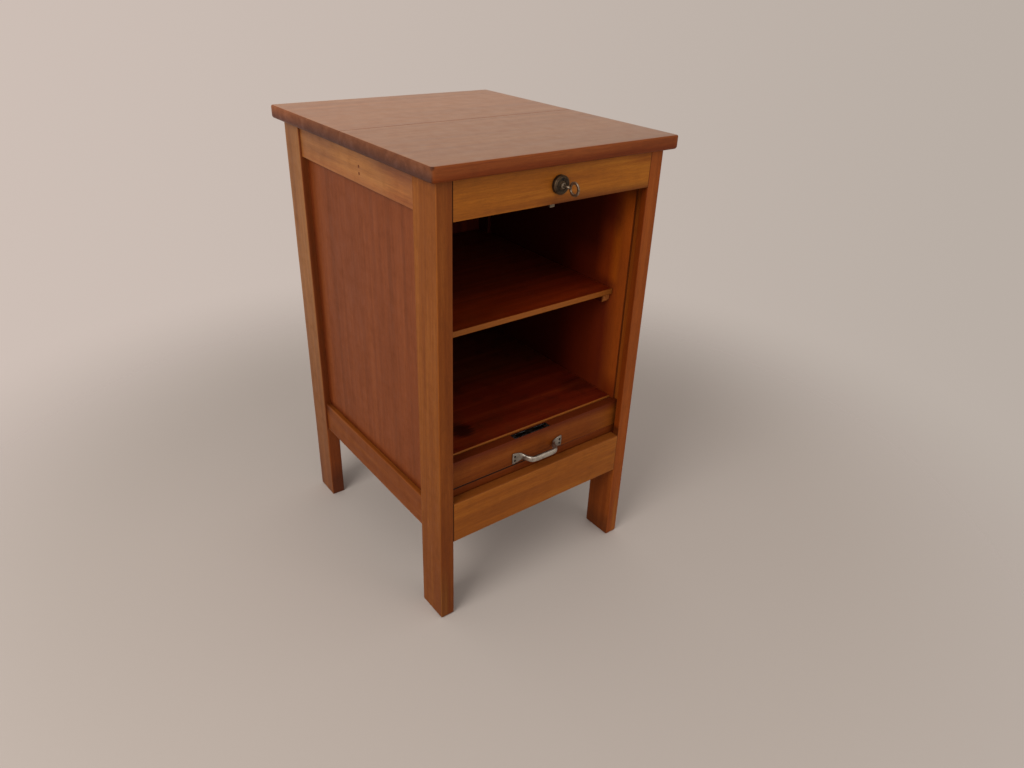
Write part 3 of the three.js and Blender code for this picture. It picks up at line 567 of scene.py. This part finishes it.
rails = {
    "arris": 1.2, "end": 0.3, "lockRailArris": 0.8,
    # painted shade on the front rail's top face
    "front": [("#743d14", [("Z", 0.2358, 0.2366)])] + dirtyEnds,
    # painted shade: dark red on the back top rail's inner face
    "backTop": [("#471305", [("Y", 0.2390, 0.2384)])],
    # the side top rails have painted shadow of the top at both ends, most along the top edge; the bottom rails have
    # painted shade, with some dirt, at the back by the leg
    "sideTop": [((0.94, 0.82, 0.74), [("Y", -0.08, -0.12)]),
                ((0.68, 0.58, 0.60), [("Y", -0.03, -0.08), ("Z", 0.730, 0.744)]),
                ((0.74, 0.68, 0.70), [("Y", 0.05, 0.10), ("Z", 0.708, 0.730)]),
                ((0.90, 0.78, 0.72), [("Z", 0.726, 0.712)]),
                (paintedShadeInside, [("X", 0.1962, 0.1956)])],
    "sideBottom": [((0.5, 0.40, 0.45), [("Y", 0.170, 0.195), ("Z", 0.200, 0.214)])],
    # painted light makes the lock rail paler to the right, with painted shadow of the top above there; it is darker
    # along its lower edge from the key on
    "lock": [((1.16, 1.22, 1.05), [("X", 0.06, 0.15)]),
             ((0.78, 0.66, 0.6), [("X", 0.12, 0.16), ("Z", 0.735, 0.746)]),
             ((0.44, 0.36, 0.5), [("X", -0.05, -0.01), ("Z", 0.716, 0.702)])] + dirtyEnds,
    # a side panel is dark red inside: painted shade. Outside it has painted shade along leg and rail, where it sits
    # back from them
    "panel": [(paintedShadeInside, [panelInside]),
              ((0.70, 0.55, 0.5), [panelOutside, ("Y", 0.186, 0.196)]),
              ((0.72, 0.58, 0.5), [panelOutside, ("Z", sideRailTop + 0.011, sideRailTop + 0.003)]),
              # painted light inside: less dark in the lower half, in a patch over the shelf and high up at the mouth
              ((1.8, 1.75, 1.0), [("Y", -0.150, -0.120), ("Y", -0.03, -0.08), ("Z", 0.580, 0.545), panelInside]),
              ((1.7, 2.0, 1.0), [("Y", -0.180, -0.168), ("Y", -0.118, -0.140), ("Z", 0.635, 0.600),
                                 ("Z", 0.515, 0.530), panelInside]),
              ((1.42, 1.45, 1.2), [("Y", -0.168, -0.180), ("Z", 0.56, 0.63), ("Z", 0.695, 0.670), panelInside]),
              # painted shade under the lock rail and in the corner with the floor
              ((0.5, 0.5, 0.6), [("Y", -0.158, -0.170), ("Z", 0.672, 0.695), panelInside]),
              ((0.62, 0.45, 0.4), [("Y", -0.155, -0.175), ("Z", 0.350, 0.315), panelInside])],
}


def railBoard(node, axis, stain, seed, zones=()):
    mesh = boxBoard(node, axis, rails["arris"], rails["end"], seed=seed)
    wood = stainedBeech(node.title().replace("_", ""), stain, axis, seed, zones)
    addPiece(node, mesh, "carcass", wood)


railBoard("front_bottom_rail", "x", "rail", 5.0, rails["front"])
railBoard("back_bottom_rail", "x", "frame", 5.6)
railBoard("back_top_rail", "x", "frame", 6.2, rails["backTop"])
for seed, side in ((7.0, "left"), (8.0, "right")):
    railBoard("side_top_rail_" + side, "y", "paleRail", seed, mirrored(side, rails["sideTop"]))
    railBoard("side_bottom_rail_" + side, "y", "frame", seed + 0.4, rails["sideBottom"])
addPiece("lock_rail", easedCopy("lock_rail", rails["lockRailArris"]), "carcass",
         stainedBeech("LockRail", "lockRail", "x", 9.0, rails["lock"]))
for seed, side in ((10.0, "left"), (11.0, "right")):
    zones = mirrored(side, rails["panel"])
    dress("side_panel_" + side, stainedBeech("Panel" + side.title(), "panel", "z", seed, zones))
dress("back_panel", stainedBeech("BackPanel", "inner", "z", 12.0))
dress("dust_panel", stainedBeech("DustPanel", "inner", "x", 12.6))
print("frame made")

# Inside: shelf, floor, cleats and the curtain's guides

inside = {
    "boardArris": 1.6, "boardEnd": 1.4, "cleatArris": 1.0,
    "legFront": 199.9, "legInner": 182.25,   # where both boards are cut out round the back legs
    # the front edges of both boards are rubbed pale; painted light makes the shelf lighter at the front and painted
    # shade the floor darker behind
    "shelfZones": [((1.85, 1.6, 0.6), [("Y", -0.035, -0.105)]), ("#854a19", [("Y", -0.1674, -0.1684)])],
    "floorZones": [((0.45, 0.7, 1.0), [("Y", -0.055, 0.02)]), ("#854a19", [("Y", -0.1876, -0.1886)])],
    "floorKnots": [((-0.107, -0.136, 0.304), (0.026, 0.032, 0.02), 0.8),
                   ((0.165, -0.122, 0.304), (0.050, 0.030, 0.02), 0.4)],
    # the cleats' front ends, out at the mouth, have painted light: its tone, and for each level the seed's part and
    # where the end starts
    "cleatEnd": "#a3602e", "cleats": (("shelf", 0.0, -0.1565), ("floor", 0.3, -0.1765)),
}


def notchedBoard(node, body, wood, seed):
    # outline with its back corners cut round the back legs, drawn upwards
    low, high = boxInMm(node)
    leg, inner = inside["legFront"], inside["legInner"]
    outline = [(low[0], low[1]), (high[0], low[1]), (high[0], leg), (inner, leg), (inner, high[1]),
               (-inner, high[1]), (-inner, leg), (low[0], leg)]
    mesh = makeBoard(node, "z", outline, (low[2], high[2]), inside["boardArris"], inside["boardEnd"], wander=0.0,
                     seed=seed)
    addPiece(node, mesh, body, wood)


shelfWood = stainedBeech("Shelf", "inner", "x", 13.0, inside["shelfZones"])
notchedBoard("shelf", "shelf", shelfWood, 13.0)
floorWood = stainedBeech("Floor", "innerFloor", "x", 14.0, inside["floorZones"], inside["floorKnots"])
notchedBoard("floor_board", "carcass", floorWood, 14.0)
for seed, side in ((15.0, "left"), (16.0, "right")):
    for level, seedMore, endFrom in inside["cleats"]:
        node = "%s_cleat_%s" % (level, side)
        wood = stainedBeech("Cleat" + level.title() + side.title(), "inner", "y", seed + seedMore,
                            [(inside["cleatEnd"], [("Y", endFrom, endFrom - 0.001)])])
        addPiece(node, easedCopy(node, inside["cleatArris"]), "carcass", wood)
    dress("bend_guide_" + side, stainedBeech("Guide" + side.title(), "inner", "z", seed + 0.6))
print("inside made")

# Curtain: lead rail and slats

curtain = {
    "leadArris": 1.1, "slatArris": 0.5,
    # darker towards the top edge, paler at the right end, and black in the pocket under the strike plate: painted
    # shade
    "leadZones": [("#57210a", [("Z", 0.2885, 0.3000)]),
                  ((1.28, 1.5, 1.6), [("X", 0.12, 0.165), ("Z", 0.292, 0.280)]),
                  ("#080402", [("X", -0.0415, -0.0405), ("X", 0.0275, 0.0265), ("Y", -0.2066, -0.2060),
                               ("Y", -0.1930, -0.1936), ("Z", 0.3006, 0.3002)])],
    # the first slat is darker along its top, most to the left
    "firstSlatZones": [("#180a04", [("Z", 0.2482, 0.2496), ("X", 0.14, -0.04)])],
    "slats": 18, "bodies": {1: "curtain_lead", 2: "bend_2", 3: "bend_3", 4: "bend_4"},
}

addPiece("lead_rail", easedCopy("lead_rail", curtain["leadArris"]), "curtain_lead",
         stainedBeech("LeadRail", "curtain", "x", 17.0, curtain["leadZones"]))
for number in range(1, curtain["slats"] + 1):
    node = "slat_%02d" % number
    wood = stainedBeech("Slat%02d" % number, "slat", "x", 18.0 + number * 0.83,
                        curtain["firstSlatZones"] if number == 1 else ())
    addPiece(node, easedCopy(node, curtain["slatArris"], 2), curtain["bodies"].get(number, "tail"), wood)
print("curtain made")

# Handle: two fan-shaped feet and a strap that rises between them, one casting

# right and up on the cabinet's front and on a level face
front, upwards = ((1, 0, 0), (0, 0, 1)), ((1, 0, 0), (0, 1, 0))
handle = {
    # half of its length, in mm from the middle: along, height of the section's middle over the wood, half width,
    # half thickness, squareness
    "stations": [(0, 21.9, 5.3, 3.0, 2.5), (10, 21.85, 5.3, 3.0, 2.5), (18, 21.7, 5.3, 3.0, 2.5),
                 (23.5, 20.8, 5.2, 3.0, 2.5), (27.5, 18.0, 5.2, 3.0, 2.5), (30, 13.6, 5.2, 3.0, 2.6),
                 (31.8, 9.0, 5.4, 2.9, 2.8), (33.6, 5.0, 5.8, 2.6, 3.2), (35.8, 2.7, 6.5, 2.0, 4.0),
                 (38.5, 1.6, 7.6, 1.5, 5.0), (42.5, 1.3, 8.7, 1.3, 6.0), (48, 1.3, 9.8, 1.3, 6.0),
                 (52.2, 1.3, 10.45, 1.3, 6.0), (53.5, 1.25, 10.0, 1.2, 5.0), (54, 1.2, 9.2, 0.9, 4.0)],
    "middle": (2.0, -209.1, 265.0), "stationsMade": 120, "around": 48,
    "wornAt": 10, "edgeWear": 0.35,   # hands rub the strap from this height up, and its two edges
}


def strapHandle():
    # Sections between the listed ones follow a cubic through them (Catmull-Rom). A section is a superellipse
    # (a sign(cos t)|cos t|^(2/n), b sign(sin t)|sin t|^(2/n)), square to the path
    half = np.array(handle["stations"], float)
    mirroredHalf = half[1:] * np.array([-1, 1, 1, 1, 1])
    table = np.concatenate([mirroredHalf[::-1], half])
    padded = np.concatenate([2 * table[:1] - table[1:2], table, 2 * table[-1:] - table[-2:-1]])
    place = np.linspace(0, len(table) - 1, handle["stationsMade"] * 2 + 1)
    first = np.minimum(place.astype(int), len(table) - 2)
    t = (place - first)[:, None]
    a, b, c, d = (padded[first + k] for k in range(4))
    line = 0.5 * (2 * b + (c - a) * t + (2 * a - 5 * b + 4 * c - d) * t ** 2 + (3 * b - 3 * c + d - a) * t ** 3)
    along, rise, halfWide, halfThick, square = line.T
    slope = np.stack([np.gradient(along), np.gradient(rise)])
    slope /= np.linalg.norm(slope, axis=0)
    angle = np.linspace(0, 2 * np.pi, handle["around"], endpoint=False)
    power = 2 / square[:, None]
    wide = halfWide[:, None] * np.sign(np.cos(angle)) * np.abs(np.cos(angle)) ** power
    thick = halfThick[:, None] * np.sign(np.sin(angle)) * np.abs(np.sin(angle)) ** power
    u = along[:, None] - slope[1][:, None] * thick
    w = np.maximum(rise[:, None] + slope[0][:, None] * thick, 0)
    rings = np.stack([u, -wide, w], axis=-1)
    onStrap = np.abs(np.sin(angle))[None] ** 2 * np.clip(rise[:, None] / handle["wornAt"], 0, 1)
    worn = onStrap + handle["edgeWear"] * (np.abs(np.cos(angle)) > 0.93)
    return closedRings("handle", placed(rings, handle["middle"], *front), np.clip(worn, 0, 1))


addPiece("handle", strapHandle(), "curtain_lead", handledMetal("castNickelHandle", "cast_nickel"))

# Screws: domed heads with a slot, on the handle and in the strike plate of the lead rail's top edge

screws = {
    # turn of the slot in radians, seed of the metal
    "handle": {"upper_left": (0.4, 0.0), "lower_left": (1.25, 0.4), "upper_right": (2.1, 0.8),
               "lower_right": (0.75, 1.2)},
    "strike": {"left": (0.5, 2.0), "right": (1.5, 3.0)},
    "handleSlot": (0.9, 0.55), "strikeSlot": (0.8, 0.5),   # width and part of the height
    "edgeHeight": 0.25, "domePower": 0.7,                  # part of the height at the rim, how full the dome is
    "slotSoft": 0.12, "rubbedFrom": 0.15, "rubbedReach": 0.2,
    "around": 72, "rings": 16, "plateArris": 0.25,
}


def slottedDome(node, centre, radius, height, facing, slotAngle, slot):
    # height h (e + (1 - e) (1 - (r/R)^2)^p) over a polar grid, less the slot's depth where the distance from its
    # line is small
    share = np.concatenate([[1.0, 1.0], np.cos(np.linspace(0, np.pi / 2, screws["rings"]))[1:-1], [0.03]])
    angle = np.linspace(0, 2 * np.pi, screws["around"], endpoint=False)
    r = radius * share[:, None]
    x, y = r * np.cos(angle), r * np.sin(angle)
    edge = screws["edgeHeight"]
    dome = height * (edge + (1 - edge) * np.maximum(1 - share ** 2, 0)[:, None] ** screws["domePower"])
    z = np.broadcast_to(dome, x.shape).copy()
    fromSlot = np.abs(x * np.sin(slotAngle) - y * np.cos(slotAngle)) - slot[0] / 2
    z -= slot[1] * height * np.clip(0.5 - fromSlot / screws["slotSoft"], 0, 1) * (share < 0.99)[:, None]
    z[0] = 0
    fromRim = np.abs(fromSlot - screws["rubbedFrom"])
    worn = np.clip((0.9 - fromRim) * (fromRim < screws["rubbedReach"]), 0, 1)
    return closedRings(node, placed(np.stack([x, y, z], axis=-1), centre, *facing), worn)


def curtainScrew(node, name, turn, seed, slot, facing):
    low, high = boxInMm(node)
    x, y, z = (low + high) / 2
    centre, height = ((x, high[1], z), high[1] - low[1]) if facing is front else ((x, y, low[2]), high[2] - low[2])
    mesh = slottedDome(node, centre, (high[0] - low[0]) / 2, height, facing, turn, slot)
    addPiece(node, mesh, "curtain_lead", handledMetal(name, "dark_steel", seed))


for i, (where, (turn, seed)) in enumerate(screws["handle"].items()):
    curtainScrew("handle_screw_" + where, "darkSteelScrew%d" % i, turn, seed, screws["handleSlot"], front)
print("handle made")
addPiece("strike_plate", easedCopy("strike_plate", screws["plateArris"], 2), "curtain_lead",
         handledMetal("rolledSteelStrike", "steel", 0.3))
for i, (where, (turn, seed)) in enumerate(screws["strike"].items()):
    curtainScrew("strike_screw_" + where, "darkSteelStrikeScrew%d" % i, turn, seed, screws["strikeSlot"], upwards)

# Lock: flange with its barrel, plug, key, case and bolt

lock = {
    "middle": (-2.0, 729.0), "flangeBack": -228.1, "height": 8.2,
    # the flange's section: bore and barrel (radius, how far it goes into the rail), then the face (radius, height
    # over the ring's top), and the round at each corner
    "bore": 6.6, "barrel": 9.5, "barrelBack": -18.0,
    "face": [(14.0, -2.4), (11.6, -0.1), (8.6, -0.55), (7.9, 0.0), (6.6, 0.0)],
    "rounds": [0.3, 0.3, 0.2, 0.4, 2.4, 1.2, 0.6, 0.4, 0.3],
    "faceDepth": 3.0, "rimFrom": 11.5,   # the face's part of the height, and the radius where the rim is rubbed
    "around": 144, "faceStep": 0.4,
    "screwWell": (0.0, 9.0, 2.3, 1.8), "wellSoft": 0.4,   # beside and above the middle, radius, depth
    "screwAt": 738.0, "screwRadius": 1.9, "screwTurn": 0.3, "screwSlot": (0.7, 0.5),
    "plugRadius": 6.3, "plugRings": 34, "plugAround": 120,
    "keyway": (1.3, 4.4), "keywayFloor": 2.2, "keywaySoft": 0.15,   # half its width and height
    "caseArris": 0.5, "boltArris": 0.5, "boltEnd": 1.2, "boltShares": (0.6, 2.0, 0.6, 2.0),
}
lockX, lockZ = lock["middle"]


def finer(profile, worn, step, where):
    # a closed section with more points on the stretches that where() picks: both are interpolated along its length
    ring = np.concatenate([profile, profile[:1]])
    along = np.concatenate([[0], np.cumsum(np.linalg.norm(np.diff(ring, axis=0), axis=1))])
    extra = np.arange(0, along[-1], step)
    extra = extra[where(np.interp(extra, along, ring[:, 0]), np.interp(extra, along, ring[:, 1]))]
    place = np.unique(np.round(np.concatenate([along[:-1], extra]), 4))
    weight = np.interp(place, along, np.concatenate([worn, worn[:1]]))
    return np.stack([np.interp(place, along, ring[:, 0]), np.interp(place, along, ring[:, 1])], axis=1), weight


def lockFlange():
    # a ring's section turned about the barrel, with a low dish between rim and bore; points of the face inside the
    # screw's well go down by its depth
    h, back, bore = lock["height"], lock["barrelBack"], lock["bore"]
    corners = [(bore, back), (lock["barrel"], back), (lock["barrel"], 0.0), (lock["face"][0][0], 0.0)]
    corners += [(radius, h + over) for radius, over in lock["face"]]
    faceFrom = h - lock["faceDepth"]
    profile, worn = roundedProfile(corners, lock["rounds"])
    profile, worn = finer(profile, worn, lock["faceStep"], lambda r, w: (w > faceFrom) & (r > bore + 0.3))
    rings, weight = revolved(profile, worn, lock["around"])
    wellX, wellZ, wellR, wellDeep = lock["screwWell"]
    away = np.hypot(rings[..., 0] - wellX, rings[..., 1] - wellZ)
    fromAxis = rings[..., 0] ** 2 + rings[..., 1] ** 2
    face = np.clip(rings[..., 2] - faceFrom, 0, 1) * (fromAxis > (bore + 0.2) ** 2)
    rings[..., 2] -= wellDeep * face * np.clip((wellR - away) / lock["wellSoft"] + 0.5, 0, 1)
    # only the outer rim is rubbed
    solid = placed(rings, (lockX, lock["flangeBack"], lockZ), *front)
    return closedRings("lock_flange", solid, weight * (fromAxis > lock["rimFrom"] ** 2), loop=True)


def lockPlug():
    # a disc on a polar grid, fine on its face, with the keyway pressed in, soft at its edge
    low, high = boxInMm("lock_plug")
    deep = high[1] - low[1]
    inwards = np.linspace(0.94, 0.02, lock["plugRings"])
    radius = lock["plugRadius"] * np.concatenate([[0.02, 0.5, 1.0, 1.0, 0.995, 0.97], inwards])
    height = np.concatenate([[0, 0, 0, deep - 0.3, deep - 0.1, deep - 0.02], 0 * inwards + deep])
    onRim = np.where(np.abs(height - deep + 0.15) < 0.2, 0.8, 0.0)
    rings, weight = revolved(np.stack([radius, height], axis=1), onRim, lock["plugAround"])
    halfWide, halfTall = lock["keyway"]
    inU = np.clip((halfWide - np.abs(rings[..., 0])) / lock["keywaySoft"] + 0.5, 0, 1)
    inV = np.clip((halfTall - np.abs(rings[..., 1])) / lock["keywaySoft"] + 0.5, 0, 1)
    rings[..., 2] -= inU * inV * (rings[..., 2] > deep - 0.05) * (deep - lock["keywayFloor"])
    return closedRings("lock_plug", placed(rings, (lockX, high[1], lockZ), *front), weight)


addPiece("lock_flange", lockFlange(), "carcass", handledMetal("darkBronzeFlange", "dark_bronze", 0.5))
addPiece("lock_plug", lockPlug(), "plug", handledMetal("darkBronzePlug", "dark_bronze", 1.5))
low, high = boxInMm("flange_screw")
mesh = slottedDome("flange_screw", (lockX, high[1], lock["screwAt"]), lock["screwRadius"], high[1] - low[1], front,
                   lock["screwTurn"], lock["screwSlot"])
addPiece("flange_screw", mesh, "carcass", handledMetal("blackSteelFlangeScrew", "black_steel", 4.0))

keyLook = {
    "ring": (6.3, 10.5, 2.4), "ringRound": 0.9,   # inner and outer radius, thickness
    "ringMiddle": -260.3, "face": -236.1, "shank": 2.4,
    "collar": (4.2, 2.0),       # radius, width
    "blade": (21.0, 8.0, 2.0),  # length, height, thickness
    "bladeArris": 0.12, "bladeEnd": 0.1,
    "cuts": (0.3, 0.75, 0.45, 0.9, 0.6), "cutDepth": 2.0,   # parts of the depth
}


def turnedKey():
    inner, outer, thick = keyLook["ring"]
    corners = [(inner, -thick / 2), (outer, -thick / 2), (outer, thick / 2), (inner, thick / 2)]
    profile, worn = roundedProfile(corners, [keyLook["ringRound"]] * 4, 5)
    rings, weight = revolved(profile, worn, 96)
    solid = placed(rings, (lockX, keyLook["ringMiddle"], lockZ), (0, 1, 0), (0, 0, 1))
    ring = closedRings("ring", solid, weight * 0.5, loop=True)
    # the shank with its collar, (radius, distance from the key's face)
    face, r, (collar, wide) = keyLook["face"], keyLook["shank"], keyLook["collar"]
    far = face - keyLook["ringMiddle"] - (inner + outer) / 2
    section = [(0.02, 0), (collar - 0.4, 0), (collar - 0.1, 0.1), (collar, 0.4), (collar, wide - 0.4),
               (collar - 0.1, wide - 0.1), (collar - 0.5, wide), (r + 0.5, wide + 0.1), (r + 0.1, wide + 0.5),
               (r, wide + 1.2), (r, far * 0.5), (r, far), (0.02, far)]
    onCollar = [0, 0, 1, 1, 1, 1, 0, 0, 0, 0, 0, 0, 0]
    rings, weight = revolved(np.array(section), np.array(onCollar, float), 48)
    shank = closedRings("shank", placed(rings, (lockX, face, lockZ), *front), weight)
    # the blade, cut below
    length, tall, thin = keyLook["blade"]
    bottom, step = lockZ - tall / 2, length / (len(keyLook["cuts"]) + 1)
    cuts = [(face + step * (i + 1), bottom + keyLook["cutDepth"] * share) for i, share in enumerate(keyLook["cuts"])]
    tip = face + length
    outline = [(face - wide, bottom + keyLook["cutDepth"]), (face, bottom), *cuts, (tip, lockZ),
               (tip - step / 2, lockZ + tall / 2), (face - wide, lockZ + tall / 2)]
    blade = makeBoard("blade", "x", outline, (lockX - thin / 2, lockX + thin / 2), keyLook["bladeArris"],
                      keyLook["bladeEnd"], wander=0.0, beside=0.3 * mm, step=1 * mm)
    return joinedMesh("key", [ring, shank, blade])


addPiece("key", turnedKey(), "key", handledMetal("nickelPlatedKey", "worn_nickel"))
addPiece("lock_case", easedCopy("lock_case", lock["caseArris"], 2), "carcass",
         handledMetal("darkSteelLockCase", "dark_steel", 5.0))
bolt = boxBoard("lock_bolt", "z", lock["boltArris"], lock["boltEnd"], shares=lock["boltShares"], beside=0.8 * mm,
                step=4 * mm, wander=0.0)
addPiece("lock_bolt", bolt, "bolt", handledMetal("wornSteelBolt", "worn_nickel", 2.0))
print("lock made")

# Two filled pegs in the left top rail

pegs = {
    "y": -8.0, "heights": (731.6, 721.0), "radius": 2.4, "height": 0.15,
    # a peg's slight dome: (part of the radius, part of the height)
    "dome": [(1.0, -0.2), (1.0, 0.6), (0.96, 0.8), (0.85, 0.92), (0.6, 0.98), (0.3, 1.0), (0.03, 1.0)],
}
railFace = boxInMm("side_top_rail_left")[0][0]
for i, height in enumerate(pegs["heights"]):
    profile = np.array(pegs["dome"]) * np.array([pegs["radius"], pegs["height"]])
    disc, plain = revolved(profile, np.zeros(len(profile)), 40)
    peg = closedRings("peg", placed(disc, (railFace, pegs["y"], height), (0, -1, 0), (0, 0, 1)), plain)
    wood = stainedBeech("Peg%d" % (i + 1), "slat", "x", 40.0 + i)
    addPiece("rail_peg_%d" % (i + 1), peg, "carcass", wood)
print("pegs made")

# Floor, light and camera

stageLook = {
    "floor": "#b0a69f", "floorHalf": 14.0, "floorRoughness": 0.75, "floorSpecular": 0.2,
    "fade": {1: 0.65, 2: 1.45},   # starts and ends at these metres from the middle
    "ambient": "#f6f1ec", "ambientStrength": 0.66,
    # the background is a little lighter towards the main lamp
    "hazeLeft": "#d3c3ba", "hazeRight": "#b9aea5",
    "lighterTowards": (-0.87, 0.3, 0.0), "hazeSpan": {1: -0.7, 2: 0.5},
    "lampColour": (1.0, 0.97, 0.93),
    # where each lamp hangs, what it faces, size in metres, watts
    "lamps": {"main": ((-2.6, -0.8, 2.2), (0, 0, 0.4), 1.8, 74.0),
              "fill": ((0.6, -3.0, 1.7), (0, 0, 0.4), 2.2, 22.0)},
}


def plainFloor():
    half = stageLook["floorHalf"]
    mesh = bpy.data.meshes.new("floor")
    mesh.from_pydata([(-half, -half, 0), (half, -half, 0), (half, half, 0), (-half, half, 0)], [], [(0, 1, 2, 3)])
    piece = newObject("floor", mesh)
    material, add = newMaterial("paleFloor")
    shader = add("BsdfPrincipled", {"Base Color": linearColour(stageLook["floor"]),
                                    "Roughness": stageLook["floorRoughness"],
                                    "Specular IOR Level": stageLook["floorSpecular"]})
    # the floor thins out with the distance, so that it runs into the pale background without a line
    place = add("TexCoord").outputs["Object"]
    away = add("VectorMath", links={0: place}, operation="LENGTH").outputs["Value"]
    share = add("MapRange", stageLook["fade"], {0: away}, interpolation_type="SMOOTHSTEP")
    faded = add("MixShader", links={0: share, 1: shader, 2: add("BsdfTransparent")})
    add("OutputMaterial", links={"Surface": faded})
    mesh.materials.append(material)


def paleSurround():
    # soft light from all round; the camera, reflections and clear things see the pale background instead
    world = bpy.data.worlds.new("paleSurround")
    world.use_nodes = True
    bpy.context.scene.world = world
    world.node_tree.nodes.clear()
    add = partial(addNode, world.node_tree)
    rays = add("LightPath").outputs
    seen = add("Math", links={0: rays["Is Camera Ray"], 1: rays["Is Glossy Ray"]}, operation="ADD")
    seen = add("Math", links={0: seen, 1: rays["Is Transmission Ray"]}, operation="ADD", use_clamp=True)
    soft = add("Background", {"Color": linearColour(stageLook["ambient"]), "Strength": stageLook["ambientStrength"]})
    # the background's share of the lighter colour follows the dot product of the direction and the lighter side
    direction = add("TexCoord").outputs["Generated"]
    towards = add("VectorMath", {1: stageLook["lighterTowards"]}, {0: direction}, operation="DOT_PRODUCT")
    share = add("MapRange", stageLook["hazeSpan"], {0: towards.outputs["Value"]})
    haze = add("ValToRGB", links={0: share}, stops=[(0, stageLook["hazeRight"]), (1, stageLook["hazeLeft"])])
    pale = add("Background", {"Strength": 1.0}, {"Color": haze})
    both = add("MixShader", links={0: seen, 1: soft, 2: pale})
    add("OutputWorld", links={"Surface": both})


def hangLamp(name, where, target, size, watts):
    light = bpy.data.lights.new(name, "AREA")
    light.size, light.energy, light.color = size, watts, stageLook["lampColour"]
    lamp = newObject(name, light)
    lamp.location = where
    lamp.rotation_euler = (Vector(target) - Vector(where)).to_track_quat("-Z", "Y").to_euler()


plainFloor()
paleSurround()
for name, lampLook in stageLook["lamps"].items():
    hangLamp(name, *lampLook)

# place in metres, angles in degrees, focal length and width in pixels of the photo
photoCamera = {"place": (-0.7113, -1.0393, 0.9976), "yaw": 38.179, "down": 28.972, "roll": 2.281, "focal": 754.2,
               "width": 1024}


def placeCamera():
    # forward = (sin yaw cos down, cos yaw cos down, -sin down); right and up turn about it by the roll
    yaw, down, roll = (math.radians(photoCamera[k]) for k in ("yaw", "down", "roll"))
    forward = Vector((math.sin(yaw) * math.cos(down), math.cos(yaw) * math.cos(down), -math.sin(down)))
    level = Vector((math.cos(yaw), -math.sin(yaw), 0))
    raised = level.cross(forward)
    right = math.cos(roll) * level + math.sin(roll) * raised
    up = math.cos(roll) * raised - math.sin(roll) * level
    camera = bpy.data.cameras.new("photo")
    camera.sensor_width, camera.lens = 36, 36 * photoCamera["focal"] / photoCamera["width"]
    camera.clip_start = 0.01
    holder = newObject("photo", camera)
    turned = Matrix((right, up, -forward)).transposed().to_4x4()
    turned.translation = Vector(photoCamera["place"])
    holder.matrix_world = turned
    bpy.context.scene.camera = holder


placeCamera()
bpy.context.scene.view_settings.view_transform = "Standard"
print("stage made")
